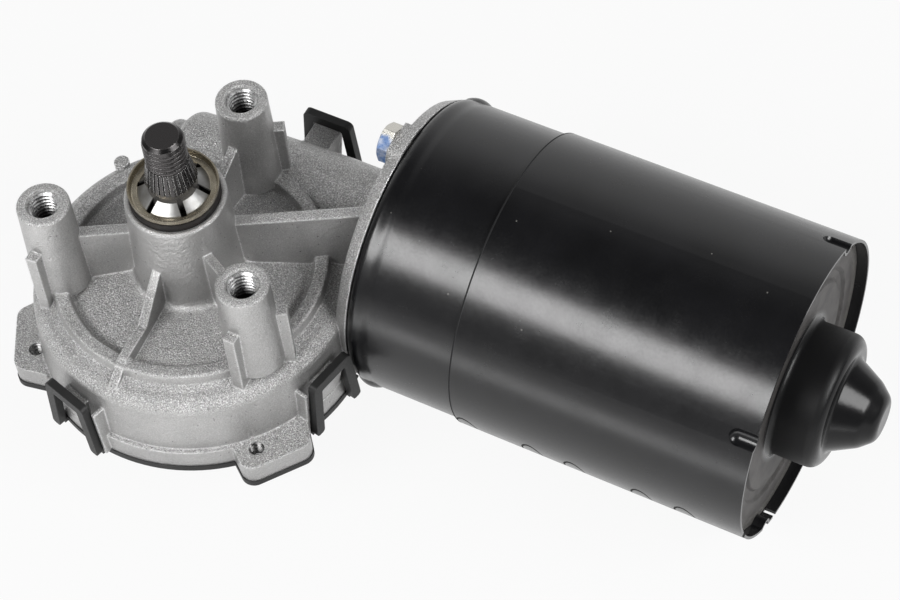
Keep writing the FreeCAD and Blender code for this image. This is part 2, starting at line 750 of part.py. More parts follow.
def wheel_section(z, turn):
    """The toothed outline of the worm wheel at one height."""
    pitch_angle = 360.0 / wheel_teeth
    tilt = math.tan(math.radians(pressure_angle))
    gap = worm_lead / 4 + tooth_side_clearance / 2
    points = []
    for i in range(wheel_teeth):
        middle = 90 + turn + i * pitch_angle
        for radius, side in ((wheel_tip_radius, -1), (wheel_pitch_radius, -1), (wheel_root_radius, -1),
                             (wheel_root_radius, 1), (wheel_pitch_radius, 1), (wheel_tip_radius, 1)):
            half = gap + (radius - wheel_pitch_radius) * tilt
            points.append(polar(radius, middle + side * math.degrees(half / radius), z))
    return Part.makePolygon(points + [points[0]])


def worm_wheel():
    """The moulded wheel: helical toothed rim, web with ribs and hub."""
    half = wheel_rim_width / 2
    twist = math.degrees(math.tan(math.radians(lead_angle)) * half / wheel_pitch_radius)
    rim = Part.makeLoft([wheel_section(wheel_bottom_z, -twist), wheel_section(wheel_top_z, twist)], True, True)
    recess_radius = wheel_root_radius - wheel_rim_depth
    rim = rim.cut(upright(recess_radius, web_top_z, wheel_top_z + 1))
    hub = upright(wheel_hub_radius, wheel_bottom_z, wheel_hub_top_z)
    ribs = [radial_wall([(9.5, wheel_top_z - 0.6), (recess_radius + 1, wheel_top_z - 0.6),
                         (recess_radius + 1, web_top_z - 1), (9.5, web_top_z - 1)], 1.8, i * 60 + 30)
            for i in range(6)]
    body = join(rim, hub, *ribs)
    return body.cut(upright(wheel_insert_radius, below_all, 0))


def wheel_insert():
    """The steel insert that drives the shaft."""
    return upright_ring(wheel_insert_radius, wheel_seat_radius, wheel_bottom_z - 0.4, wheel_hub_top_z)


def track_disc():
    """The brass park track on the wheel's underside, with its switching notches."""
    disc = upright_ring(track_disc_outer, track_disc_inner, track_disc_z, wheel_bottom_z)
    low, high = track_disc_z - 1, wheel_bottom_z + 1
    middle = track_radii[1] + (track_radii[2] - track_radii[1]) / 2
    edge = track_disc_outer + 1
    inner_notch = radial_wall([(track_radii[1] - 2.4, low), (middle, low), (middle, high),
                               (track_radii[1] - 2.4, high)], 9, 100)
    outer_notch = radial_wall([(middle, low), (edge, low), (edge, high), (middle, high)], 14, 205)
    return cut(disc, inner_notch, outer_notch)


def worm_thread():
    """The helical thread of the worm, a little longer than the worm."""
    length = worm_length + 2 * worm_lead
    tilt = math.tan(math.radians(pressure_angle))
    buried = 0.35
    half_pitch = worm_lead / 4 - tooth_side_clearance / 2
    half_tip = half_pitch - tooth_addendum * tilt
    half_root = half_pitch + (worm_pitch_radius - worm_root_radius + buried) * tilt
    root = worm_root_radius - buried
    helix = Part.makeLongHelix(worm_lead, length, worm_pitch_radius, 0, False)
    profile = Part.makePolygon([Vector(root, 0, -half_root), Vector(worm_tip_radius, 0, -half_tip),
                                Vector(worm_tip_radius, 0, half_tip), Vector(root, 0, half_root),
                                Vector(root, 0, -half_root)])
    thread = Part.Wire(helix).makePipeShell([profile], True, True)
    thread.rotate(Vector(), Vector(0, 1, 0), 90)
    return thread, length


def armature_shaft():
    """The armature shaft with its rolled worm, from the tail journal to the closed end."""
    thread, length = worm_thread()
    thread.rotate(Vector(), Vector(1, 0, 0), worm_start_angle(length))
    thread.translate(Vector(-length / 2, worm_axis_y, worm_axis_z))
    half = worm_length / 2
    blank = motor_profile([(-half, 0), (-half, worm_root_radius), (-half + 2.4, worm_tip_radius + 0.2),
                           (half - 2.4, worm_tip_radius + 0.2), (half, worm_root_radius), (half, 0)])
    thread = thread.common(blank)
    core = motor_profile([(shaft_tail_x, 0), (shaft_tail_x, tail_journal_radius - 0.5),
                          (shaft_tail_x + 0.5, tail_journal_radius), (-half, tail_journal_radius),
                          (-half, worm_root_radius), (half, worm_root_radius),
                          (half + 1.5, armature_shaft_radius),
                          (shaft_head_x - 0.6, armature_shaft_radius),
                          (shaft_head_x, armature_shaft_radius - 0.6),
                          (shaft_head_x, 0)])
    return core.fuse(thread)


def worm_start_angle(length):
    """The turn that puts a thread of the worm on the wheel's gap at the middle of the worm."""
    turns_to_middle = length / 2 / worm_lead
    return 270 - 360 * turns_to_middle


def slot_cutter(slack, x_low, x_high):
    """The hollow of one armature slot, open to the air gap."""
    pitch = math.pi / slot_count
    inner = stack_core_radius + slack
    outer = stack_radius - tooth_tip_height - slack
    neck = pole_neck_width / 2 + slack
    points = []
    for radius in (inner, outer):
        spread = radius * math.sin(pitch) - neck * math.cos(pitch)
        depth = radius * math.cos(pitch)
        points.append((depth, max(spread, 0.3)))
    (r1, w1), (r2, w2) = points
    outline = [(r1, -w1), (r2, -w2), (r2, w2), (r1, w1)]
    face = face_of([Vector(x_low, worm_axis_y + w, worm_axis_z + r) for r, w in outline])
    return face.extrude(Vector(x_high - x_low, 0, 0))


def lamination_stack():
    """The slotted iron core of the armature."""
    body = lying_ring(stack_radius, armature_shaft_radius, *stack_span)
    low, high = stack_span[0] - 1, stack_span[1] + 1
    half = slot_opening / 2
    mouth = block(low, high, worm_axis_y - half, worm_axis_y + half, worm_axis_z + stack_core_radius + 6,
                  worm_axis_z + stack_radius + 2)
    opening = slot_cutter(0, low, high).fuse(mouth)
    return body.cut(Part.makeCompound([about_motor(opening, i * 360 / slot_count) for i in range(slot_count)]))


def armature_windings():
    """The copper: bars in the slots and the two end turns, one solid."""
    low = stack_span[0] - winding_overhang
    high = stack_span[1] + winding_overhang
    crown = stack_radius - tooth_tip_height - winding_slack
    ends = [motor_profile([(a, 5.5), (a, crown - 4), (a + s * 2.5, crown - 1), (b, crown - 1), (b, 5.5)])
            for a, b, s in ((low, stack_span[0] - winding_slack, 1), (high, stack_span[1] + winding_slack, -1))]
    bars = [about_motor(slot_cutter(winding_slack, low + 3, high - 3), i * 360 / slot_count)
            for i in range(slot_count)]
    return join(*ends, *bars)


def commutator_core():
    """The moulded hub under the commutator's bars."""
    return lying_ring(commutator_core_radius, armature_shaft_radius, *commutator_span)


def commutator_bars():
    """The copper bars with their risers, parted by narrow gaps."""
    low, high = commutator_span
    sleeve = motor_profile([(low + 0.6, commutator_core_radius), (low + 0.6, commutator_radius),
                            (high - riser_length, commutator_radius), (high - riser_length, riser_radius),
                            (high, riser_radius), (high, commutator_core_radius)])
    gap = block(low - 1, high + 1, worm_axis_y - commutator_gap_width / 2,
                worm_axis_y + commutator_gap_width / 2, worm_axis_z, worm_axis_z + 20)
    gaps = Part.makeCompound([about_motor(gap, (i + 0.5) * 360 / slot_count) for i in range(slot_count)])
    return sleeve.cut(gaps)


def tail_bush():
    """The sintered bush at the worm's tail."""
    return lying_ring(tail_bore_radius, tail_journal_radius + running_clearance, screw_bore_x, tail_bore_x)


def thrust_ball():
    """The steel ball between the shaft's tail and the thrust screw."""
    return Part.makeSphere(1.4, Vector(shaft_tail_x - 1.45, worm_axis_y, worm_axis_z))


def thrust_screw():
    """The set screw that takes up the armature's end play."""
    inner = shaft_tail_x - 2.9
    screw = lying(screw_radius, tail_boss_end_x + 0.8, inner)
    socket = block(tail_boss_end_x, tail_boss_end_x + 2.6, worm_axis_y - 2.8, worm_axis_y + 2.8,
                   worm_axis_z - 0.5, worm_axis_z + 0.5)
    return screw.cut(socket)


def bearing_outer_race():
    """The outer ring of the front ball bearing, with its shields."""
    end = bearing_start_x + bearing_width
    return motor_profile([(bearing_start_x, 6.3), (bearing_start_x, bearing_outer_radius),
                          (end, bearing_outer_radius), (end, 6.3), (end - 0.5, 6.3), (end - 0.5, 9.4),
                          (bearing_start_x + 0.5, 9.4), (bearing_start_x + 0.5, 6.3)])


def bearing_inner_race():
    """The inner ring of the front ball bearing."""
    return lying_ring(6.0, armature_shaft_radius, bearing_start_x, bearing_start_x + bearing_width)


def motor_tube():
    """The drawn pole tube: its gearbox end is turned in to an annular face that takes the bolts."""
    body = motor_profile([(motor_start_x, spigot_radius + 0.1), (motor_start_x, tube_radius, tube_corner),
                          (tube_end_x, tube_radius), (tube_end_x, tube_bore_radius),
                          (motor_start_x + tube_wall, tube_bore_radius, tube_corner - tube_wall),
                          (motor_start_x + tube_wall, spigot_radius + 0.1)])
    holes = []
    for angle in bolt_angles:
        hole = lying(bolt_radius + 0.02, motor_start_x - 1, motor_start_x + 4)
        hole.translate(Vector(0, bolt_circle_radius * math.cos(math.radians(angle)),
                              bolt_circle_radius * math.sin(math.radians(angle))))
        holes.append(hole)
    bumps = []
    skin = lying_ring(tube_radius + bump_rise + 1, tube_radius - tube_wall / 2,
                      motor_start_x + 0.5, ring_start_x)
    for angle in bump_angles:
        middle = Vector(bump_x, worm_axis_y - tube_radius - bump_rise + bump_radius, worm_axis_z)
        bumps.append(about_motor(Part.makeSphere(bump_radius, middle).common(skin), angle))
    return cut(join(body, *bumps), *holes, *crimp_tools(crimp_radius + ring_wall + ring_clearance))


def crimp_tools(radius):
    """A round-nosed rod for each crimp, lying along the ring and sunk into it."""
    rods = []
    for angle in crimp_angles:
        head = Vector(motor_end_x - crimp_length + crimp_radius,
                      worm_axis_y - ring_radius - crimp_radius + crimp_depth, worm_axis_z)
        rod = Part.makeCylinder(radius, motor_end_x + 1 - head.x, head, Vector(1, 0, 0))
        rods.append(about_motor(rod.fuse(Part.makeSphere(radius, head)), angle))
    return rods


def flux_ring():
    """The rolled outer ring: lipped past the end plate, notched, and crimped in four places."""
    body = lying_ring(ring_radius, ring_inner_radius, ring_start_x, motor_end_x)
    tools = []
    for start, end in lip_gap_angles:
        wedge = lying(ring_radius + 3, end_face_x + 0.2, motor_end_x + 1)
        tools.append(wedge.common(motor_sector((start + end) / 2, end - start)))
    drum = lying(ring_inner_radius + ring_wall / 2, ring_start_x, motor_end_x)
    troughs = [rod.common(drum) for rod in crimp_tools(crimp_radius + ring_wall)]
    return cut(join(body, *troughs), *crimp_tools(crimp_radius), *tools)


def end_plate():
    """The pressed end plate with its deep cup and conical nose for the rear bearing."""
    t = end_plate_thickness
    edge = ring_inner_radius - 0.1
    low, high = plate_groove
    face = end_face_x
    floor = end_face_x - plate_groove_depth
    outer = [(face, edge), (face, high, 0.6), (floor, high - plate_groove_depth, 0.6),
             (floor, low + plate_groove_depth, 0.6), (face, low, 0.6), (face, cup_radius, 1.6),
             (cup_face_x, cup_radius, cup_shoulder), (cup_face_x, nose_base_radius, 1.4),
             (nose_end_x, nose_end_radius, 6.0), (nose_tip_x, nose_end_radius - 3.2, nose_tip_rounding),
             (nose_tip_x, 0)]
    inner = [(nose_tip_x - t, 0), (nose_tip_x - t, nose_end_radius - 4.6, 1.6),
             (nose_end_x - 0.5, nose_end_radius - t), (cup_face_x - t, nose_base_radius - t - 0.3),
             (cup_face_x - t, cup_radius - t, cup_shoulder - t), (tube_end_x, cup_radius - t, 1.6 + t),
             (tube_end_x, low - 0.4), (tube_end_x - plate_groove_depth, low + 0.6),
             (tube_end_x - plate_groove_depth, high - 0.6), (tube_end_x, high + 0.4), (tube_end_x, edge)]
    return cut(motor_profile(outer + inner), *crimp_tools(crimp_radius + ring_wall + ring_clearance))


def end_bush():
    """The self-aligning sintered bush in the nose."""
    low, high = end_bush_span
    middle = (low + high) / 2
    bore = armature_shaft_radius + running_clearance
    return motor_profile([(low, bore), (low, end_bush_radius - 1.4), (middle - 1.6, end_bush_radius - 0.2),
                          (middle, end_bush_radius), (middle + 1.6, end_bush_radius - 0.2),
                          (high, end_bush_radius - 1.4), (high, bore)])


def bush_retainer():
    """The spring plate that holds the bush in the cup."""
    low = end_bush_span[0]
    outer = cup_radius - end_plate_thickness - 0.1
    body = motor_profile([(low - 1.0, outer), (low - 0.2, outer), (low + 1.2, end_bush_radius - 0.6),
                          (low + 0.6, end_bush_radius - 1.0), (low - 1.0, outer - 1.5)])
    slot = block(low - 5, low + 5, worm_axis_y - 1, worm_axis_y + 1, worm_axis_z, worm_axis_z + outer - 2.5)
    return body.cut(Part.makeCompound([about_motor(slot, i * 60) for i in range(6)]))


def thrust_pad():
    """The pad that meets the shaft's head inside the nose."""
    return lying(3.0, shaft_head_x + 0.15, nose_tip_x - end_plate_thickness - 0.4)


def field_magnets():
    """The ferrite arcs on the tube's wall."""
    ring = lying_ring(tube_bore_radius - magnet_slip, magnet_inner_radius, *magnet_span)
    return Part.makeCompound([ring.common(motor_sector(45 + i * 360 / magnet_count, magnet_arc))
                              for i in range(magnet_count)])


def motor_sector(middle, arc):
    """A wedge about the motor's axis that keeps one arc of a ring."""
    reach = 2 * ring_radius
    fan = [Vector(0, worm_axis_y, worm_axis_z)]
    steps = 4
    for i in range(steps + 1):
        a = math.radians(middle - arc / 2 + arc * i / steps)
        fan.append(Vector(0, worm_axis_y - reach * math.cos(a), worm_axis_z + reach * math.sin(a)))
    return face_of(fan).extrude(Vector(nose_tip_x + 1, 0, 0))


def magnet_clips():
    """The spring clips that spread between the magnets."""
    low, high = magnet_span[0] + 4, magnet_span[1] - 4
    outer = tube_bore_radius - magnet_slip
    ring = lying_ring(outer, outer - 0.6, low, high)
    clips = []
    for i in range(magnet_count):
        middle = i * 360 / magnet_count
        band = ring.common(motor_sector(middle, clip_arc))
        legs = [lying_ring(outer, outer - 5, low, high).common(motor_sector(middle + side * clip_arc / 2, 1.0))
                for side in (-1, 1)]
        clips.append(join(band, *legs))
    return Part.makeCompound(clips)


def brush_plate():
    """The moulded plate that carries the brush gear, seated on the housing's spigot."""
    body = lying_ring(tube_bore_radius - 0.2, brush_plate_window, spigot_end_x, brush_plate_x)
    notch = block(spigot_end_x - 1, brush_plate_x + 1, worm_axis_y - 4, worm_axis_y + 4,
                  worm_axis_z + tube_bore_radius - 6.4, worm_axis_z + tube_bore_radius + 4)
    return cut(body, about_motor(notch, 60), about_motor(notch, 240))


def radial_block(r_low, r_high, half_width, x_low, x_high, angle):
    """A block along a radius of the motor."""
    bar = block(x_low, x_high, worm_axis_y - r_high, worm_axis_y - r_low,
                worm_axis_z - half_width, worm_axis_z + half_width)
    return about_motor(bar, angle)


def brushes():
    """The carbon brushes, hollowed to the commutator."""
    low = brush_plate_x + brush_offset_x
    reach = commutator_radius + brush_gap
    drum = lying(reach, low - 5, low + 20)
    return Part.makeCompound([radial_block(reach - 0.4, reach + brush_length, brush_section[1] / 2, low,
                                           low + brush_section[0], angle).cut(drum) for angle in brush_angles])


def brush_holders():
    """The brass boxes that guide the brushes, standing on the plate."""
    low = brush_plate_x + brush_offset_x
    slack = holder_clearance
    r_low, r_high = commutator_radius + 2.2, commutator_radius + 13.5
    boxes = []
    for angle in brush_angles:
        outer = radial_block(r_low, r_high, brush_section[1] / 2 + slack + holder_wall, brush_plate_x,
                             low + brush_section[0] + slack + holder_wall, angle)
        inner = radial_block(r_low - 1, r_high + 1, brush_section[1] / 2 + slack, low - slack,
                             low + brush_section[0] + slack, angle)
        boxes.append(outer.cut(inner))
    return Part.makeCompound(boxes)


def brush_springs():
    """The leaf springs behind the brushes: a coiled-over strip from the plate to the brush's back."""
    low = brush_plate_x + brush_offset_x
    back = commutator_radius + brush_gap + brush_length
    strips = []
    for angle in brush_angles:
        half = brush_section[1] / 2 - 0.4
        foot = radial_block(back + 4.0, back + 8.0, half, brush_plate_x, brush_plate_x + spring_sheet, angle)
        riser = radial_block(back + 4.0, back + 4.0 + spring_sheet, half, brush_plate_x,
                             low + brush_section[0] / 2 + 0.4, angle)
        arm = radial_block(back + 0.1, back + 4.0 + spring_sheet, half, low + brush_section[0] / 2,
                           low + brush_section[0] / 2 + spring_sheet, angle)
        pad = radial_block(back + 0.1, back + 0.1 + spring_sheet, half, low + 0.6,
                           low + brush_section[0] / 2 + spring_sheet, angle)
        strips.append(join(foot, riser, arm, pad))
    return Part.makeCompound(strips)


def suppression_chokes():
    """The two interference chokes lying on the brush plate."""
    rods = []
    for angle in (65.0, 182.0):
        rod = Part.makeCylinder(choke_radius, choke_length,
                                Vector(brush_plate_x + choke_radius + 0.1, worm_axis_y - tube_bore_radius + 10.9,
                                       worm_axis_z - choke_length / 2), Vector(0, 0, 1))
        rods.append(about_motor(rod, angle))
    return Part.makeCompound(rods)


def tube_bolts():
    """The two hexagon bolts that hold the tube to the housing."""
    bolts = []
    seat = motor_flange_x - bolt_boss_rise
    for angle in bolt_angles:
        reach = bolt_head_flats / 2 / math.cos(math.radians(30))
        corners = [(reach * math.cos(math.radians(30 + 60 * i)), reach * math.sin(math.radians(30 + 60 * i)))
                   for i in range(6)]
        face_x = seat - bolt_head_height
        head = face_of([Vector(face_x, a, b) for a, b in corners]).extrude(Vector(bolt_head_height, 0, 0))
        bevel = Part.makeCone(bolt_head_flats / 2 - 0.1, bolt_head_flats / 2 - 0.1 + 2 * bolt_head_height,
                              bolt_head_height, Vector(face_x, 0, 0), Vector(1, 0, 0))
        head = head.common(bevel)
        shank = Part.makeCylinder(bolt_radius, motor_start_x + tube_wall + 1.2 - seat + 0.5,
                                  Vector(seat - 0.5, 0, 0), Vector(1, 0, 0))
        bolt = head.fuse(shank)
        bolt.translate(Vector(0, worm_axis_y + bolt_circle_radius * math.cos(math.radians(angle)),
                              worm_axis_z + bolt_circle_radius * math.sin(math.radians(angle))))
        bolts.append(bolt)
    return Part.makeCompound(bolts)


os.makedirs("parts", exist_ok=True)
put("gear_housing", gear_housing())
put("housing_cover", housing_cover())
put("cover_gasket", cover_gasket())
put("switch_plate", switch_plate())
put("park_contacts", park_contacts())
put("connector_pins", connector_pins())
put("upper_bush", output_bush(upper_bush_top_z, upper_bush_length))
put("lower_bush", output_bush(deck_underside_z + 0.2 + lower_bush_length, lower_bush_length))
put("shaft_seal", shaft_seal())
put("output_shaft", output_shaft())
put("star_washer", star_washer())
put("thrust_washer", thrust_washer())
put("worm_wheel", worm_wheel())
put("wheel_insert", wheel_insert())
put("track_disc", track_disc())
put("armature_shaft", armature_shaft())
put("lamination_stack", lamination_stack())
put("armature_windings", armature_windings())
put("commutator_core", commutator_core())
put("commutator_bars", commutator_bars())
put("bearing_inner_race", bearing_inner_race())
put("bearing_outer_race", bearing_outer_race())
put("tail_bush", tail_bush())
put("thrust_ball", thrust_ball())
put("thrust_screw", thrust_screw())
put("motor_tube", motor_tube())
put("flux_ring", flux_ring())
put("end_plate", end_plate())
put("end_bush", end_bush())
put("bush_retainer", bush_retainer())
put("thrust_pad", thrust_pad())
put("field_magnets", field_magnets())
put("magnet_clips", magnet_clips())
put("brush_plate", brush_plate())
put("brushes", brushes())
put("brush_holders", brush_holders())
put("brush_springs", brush_springs())
put("suppression_chokes", suppression_chokes())
put("tube_bolts", tube_bolts())
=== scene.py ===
import math

import bpy
from bpy.props import FloatProperty, FloatVectorProperty, IntProperty, PointerProperty
from mathutils import Matrix, Vector


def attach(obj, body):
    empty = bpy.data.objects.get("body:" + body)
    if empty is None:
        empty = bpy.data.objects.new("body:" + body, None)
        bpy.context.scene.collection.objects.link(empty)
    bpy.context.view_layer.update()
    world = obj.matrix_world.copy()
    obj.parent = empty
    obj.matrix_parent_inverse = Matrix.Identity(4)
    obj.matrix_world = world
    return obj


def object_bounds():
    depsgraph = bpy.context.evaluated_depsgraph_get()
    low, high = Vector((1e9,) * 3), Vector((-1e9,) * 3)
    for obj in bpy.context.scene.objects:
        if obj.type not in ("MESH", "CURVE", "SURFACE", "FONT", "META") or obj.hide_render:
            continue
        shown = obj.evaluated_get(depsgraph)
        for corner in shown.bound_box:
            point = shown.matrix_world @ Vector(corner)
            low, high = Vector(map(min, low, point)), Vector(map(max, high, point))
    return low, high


bl_info = {
    "name": "Wiper Motor Looks",
    "version": (1, 0, 0),
    "blender": (4, 5, 0),
    "location": "View3D > Sidebar > Wiper Motor",
    "description": "Dresses the packed wiper motor with its finishes, threads and stage",
    "category": "Object",
}

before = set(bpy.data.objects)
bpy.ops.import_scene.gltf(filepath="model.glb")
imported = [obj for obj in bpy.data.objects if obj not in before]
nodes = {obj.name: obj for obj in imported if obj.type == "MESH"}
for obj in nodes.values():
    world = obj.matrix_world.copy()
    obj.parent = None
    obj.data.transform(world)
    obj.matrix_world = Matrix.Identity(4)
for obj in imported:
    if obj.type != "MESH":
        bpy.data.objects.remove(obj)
cad_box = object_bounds()

# Casting, its posts and its ears
HUB_FADE = (0.0145, 0.0190)
POST_CIRCLE = 0.0325
POST_ANGLES = [math.radians(angle) for angle in (90, 210, 330)]
POST_CENTRES = [Vector((POST_CIRCLE * math.cos(angle), POST_CIRCLE * math.sin(angle), 0.0))
                for angle in POST_ANGLES]
POST_BORE = 0.00404
POST_CREST = 0.003675
POST_THREAD_TOP = Vector((0.0, 0.0, -0.0010))
POST_MOUTH = -0.0012
POST_LIT_DEPTH = (-0.0095, -0.0030)
EAR_HOLES = [Vector((-0.0326, -0.0287, -0.0500)), Vector((0.0336, -0.0304, -0.0500))]
EAR_BORE = 0.00185
EAR_THREAD_TOP = Vector((0.0, 0.0, -0.0006))
EAR_RIDGE_HALF = 0.00017
EAR_TURNS = 7
EAR_LEVEL = -0.0460
BORE_RIDGE_SHARE = 0.45
CREST_SHARE = 0.28
SMOOTH_ANGLE = math.radians(35.0)

# Output shaft and star washer
JOURNAL_TOP = 0.00745
CONE_FOOT = 0.0075
CONE_FOOT_RADIUS = 0.00655
CONE_SLOPE = 0.1846
CONE_TOP = 0.0141
TIP_THREAD_TOP = Vector((0.0, 0.0, 0.0216))
TIP_THREAD_RADIUS = 0.00499
TIP_RIDGE_SHARE = 0.42
TIP_TURNS = 5
TIP_STEPS = 40
CHAMFER_START = 0.02225
TIP_FACE = 0.0231
PETAL_END = 0.0089

# Motor case, end plate, bolts and armature sheets
MOTOR_AXIS = Vector((0.0, 0.038, -0.041))
SWAGE_PLACE = 0.0481
SWAGE_HALF = 0.0022
RING_START = 0.0733
LIP_WIDTH = 0.00035
SEAM_ANGLE = math.radians(-155.0)
SEAM_RADIUS = 0.0394
SEAM_HALF = 0.00017
TONGUE_PLACES = (0.0758, 0.0942)
TONGUE_PERIOD = 0.0301
TONGUE_HALF = 0.0027
TONGUE_LENGTH = 0.0068
PLATE_FACE = 0.1490
PLATE_FLAT_RADIUS = 0.0195
PLATE_RIM_RADIUS = 0.0356
CUP_RADIUS = 0.0175
PAINT_EDGE = 0.04085
SHEET_THICKNESS = 0.0005

# Stage
FLOOR_SIZE = 12.0
FLOOR_GAP = 0.0006
# Each softbox has an azimuth and an elevation in degrees, and a width
SOFTBOXES = {"main_softbox": (-21.0, 43.0, 0.56), "side_softbox": (90.0, 37.0, 0.50)}
SOFTBOX_HEIGHT = 0.32
SOFTBOX_RADIANCE = 12.0
CARD_PLACE = (0.07, -0.165)
CARD_LIFT = 0.0004
CARD_SIZE = (0.5, 0.11)
CARD_RADIANCE = 2.1
CAMERA_PLACE = Vector((0.27896, -0.32260, 0.55110))
CAMERA_AZIMUTH = 32.217
CAMERA_ELEVATION = 55.265
CAMERA_ROLL = math.radians(-5.869)
SENSOR_WIDTH = 36.0
PICTURE_WIDTH = 900.0
FOCAL_PIXELS = 2843.3


class MotorSizes(bpy.types.PropertyGroup):
    """Sizes of the pieces that the looks add."""
    post_pitch: FloatProperty(
        name="Post thread pitch", description="Pitch of the thread in the mounting posts",
        default=0.00125, subtype="DISTANCE", unit="LENGTH")
    post_depth: FloatProperty(
        name="Post thread depth", description="How far the posts' thread runs down",
        default=0.0175, subtype="DISTANCE", unit="LENGTH")
    post_ridge: FloatProperty(
        name="Post thread height", description="Height of the posts' thread ridge",
        default=0.00066, subtype="DISTANCE", unit="LENGTH")
    shaft_pitch: FloatProperty(
        name="Shaft thread pitch", description="Pitch of the thread on the output shaft's tip",
        default=0.0015, subtype="DISTANCE", unit="LENGTH")
    shaft_ridge: FloatProperty(
        name="Shaft thread height", description="How far the shaft's thread stands out",
        default=0.0003, subtype="DISTANCE", unit="LENGTH")
    ear_pitch: FloatProperty(
        name="Ear thread pitch", description="Pitch of the thread in the ears' holes",
        default=0.0007, subtype="DISTANCE", unit="LENGTH")
    thread_steps: IntProperty(
        name="Thread steps", description="Steps in one turn of a thread", default=28, min=12)
    light_distance: FloatProperty(
        name="Light distance", description="Distance of the softboxes",
        default=0.9, subtype="DISTANCE", unit="LENGTH")


class MotorColours(bpy.types.PropertyGroup):
    """Colours of the visible finishes."""
    casting: FloatVectorProperty(
        name="Casting", description="Colour of the blasted aluminium casting",
        default=(0.430, 0.426, 0.422), subtype="COLOR", min=0, max=1)
    paint: FloatVectorProperty(
        name="Case paint", description="Colour of the motor case's black paint",
        default=(0.0035, 0.0035, 0.004), subtype="COLOR", min=0, max=1)
    plastic: FloatVectorProperty(
        name="Cover", description="Colour of the moulded cover",
        default=(0.010, 0.010, 0.010), subtype="COLOR", min=0, max=1)
    shaft: FloatVectorProperty(
        name="Shaft", description="Colour of the phosphated output shaft",
        default=(0.055, 0.052, 0.052), subtype="COLOR", min=0, max=1)
    zinc: FloatVectorProperty(
        name="Zinc", description="Colour of the zinc plating on bolts, screw and clips",
        default=(0.56, 0.545, 0.50), subtype="COLOR", min=0, max=1)
    lock_paint: FloatVectorProperty(
        name="Locking paint", description="Colour of the bolts' locking paint",
        default=(0.11, 0.19, 0.38), subtype="COLOR", min=0, max=1)


class Amount:
    """A shader socket that joins in plain arithmetic."""

    def __init__(self, network, socket):
        self.network = network
        self.socket = socket

    def calculate(self, operation, first, second):
        return self.network.math(operation, first, second)

    def output(self, name):
        """Another output of the same node."""
        return Amount(self.network, self.socket.node.outputs[name])

    def __add__(self, other):
        return self.calculate("ADD", self, other)

    def __radd__(self, other):
        return self.calculate("ADD", other, self)

    def __sub__(self, other):
        return self.calculate("SUBTRACT", self, other)

    def __rsub__(self, other):
        return self.calculate("SUBTRACT", other, self)

    def __mul__(self, other):
        return self.calculate("MULTIPLY", self, other)

    def __rmul__(self, other):
        return self.calculate("MULTIPLY", other, self)

    def __truediv__(self, other):
        return self.calculate("DIVIDE", self, other)

    def __rtruediv__(self, other):
        return self.calculate("DIVIDE", other, self)

    def __gt__(self, other):
        return self.calculate("GREATER_THAN", self, other)

    def __lt__(self, other):
        return self.calculate("LESS_THAN", self, other)

    def __pow__(self, other):
        return self.calculate("POWER", self, other)

    def __rpow__(self, other):
        return self.calculate("POWER", other, self)


def hypotenuse(first, second):
    """The distance that two amounts at right angles make."""
    return (first ** 2.0 + second ** 2.0) ** 0.5


class Network:
    """The nodes of a material or of the world."""

    def __init__(self, owner, kind):
        owner.use_nodes = True
        self.tree = owner.node_tree
        self.end = next(n for n in self.tree.nodes if n.type == kind)

    def node(self, kind, settings, inputs, output=0):
        """Adds any node: its settings are set first, then the values or links of its sockets."""
        made = self.tree.nodes.new(kind)
        for name, value in settings.items():
            if name == "stops":
                elements = made.color_ramp.elements
                elements.remove(elements[1])
                elements[0].position = value[0][0]
                for position, _ in value[1:]:
                    elements.new(position)
                for element, (_, colour) in zip(elements, value):
                    element.color = (*colour, 1.0)
            else:
                setattr(made, name, value)
        for name, value in inputs.items():
            if isinstance(value, Amount):
                self.tree.links.new(value.socket, made.inputs[name])
            else:
                made.inputs[name].default_value = value
        return Amount(self, made.outputs[output])

    def math(self, operation, *values):
        """A Math node; those without an operator of their own are called by name."""
        return self.node("ShaderNodeMath", {"operation": operation}, dict(enumerate(values)))

    def least(self, first, *others):
        """The smallest of some values."""
        for other in others:
            first = self.math("MINIMUM", first, other)
        return first

    def between(self, value, low, high, start=0.0, end=1.0):
        """A value mapped from one span to another, clamped."""
        return self.node("ShaderNodeMapRange", {"clamp": True},
                         {"Value": value, "From Min": low, "From Max": high, "To Min": start, "To Max": end})

    def above(self, value, place, soft):
        """1 where a value is past a place and 0 short of it, with a soft edge this wide."""
        return self.between(value, place - soft / 2, place + soft / 2)

    def below(self, value, place, soft):
        """1 where a value is short of a place and 0 past it, with a soft edge this wide."""
        return self.between(value, place + soft / 2, place - soft / 2)

    def spread(self, noise, start=0.0, end=1.0):
        """The usual values of a noise, mapped to a span."""
        return self.between(noise, 0.3, 0.7, start, end)

    def blend(self, share, first, second):
        """A mix of two colours."""
        inputs = {0: share}
        for socket, colour in ((6, first), (7, second)):
            inputs[socket] = colour if isinstance(colour, Amount) else (*colour, 1.0)
        return self.node("ShaderNodeMix", {"data_type": "RGBA"}, inputs, 2)

    def ramp(self, value, *stops):
        """Greys at stops along a value, and the blends between them."""
        colours = [(position, (level,) * 3) for position, level in stops]
        return self.node("ShaderNodeValToRGB", {"stops": colours}, {0: value})

    def cover(self, shader):
        """Links a shader to the network's end."""
        self.tree.links.new(shader.socket, self.end.inputs["Surface"])


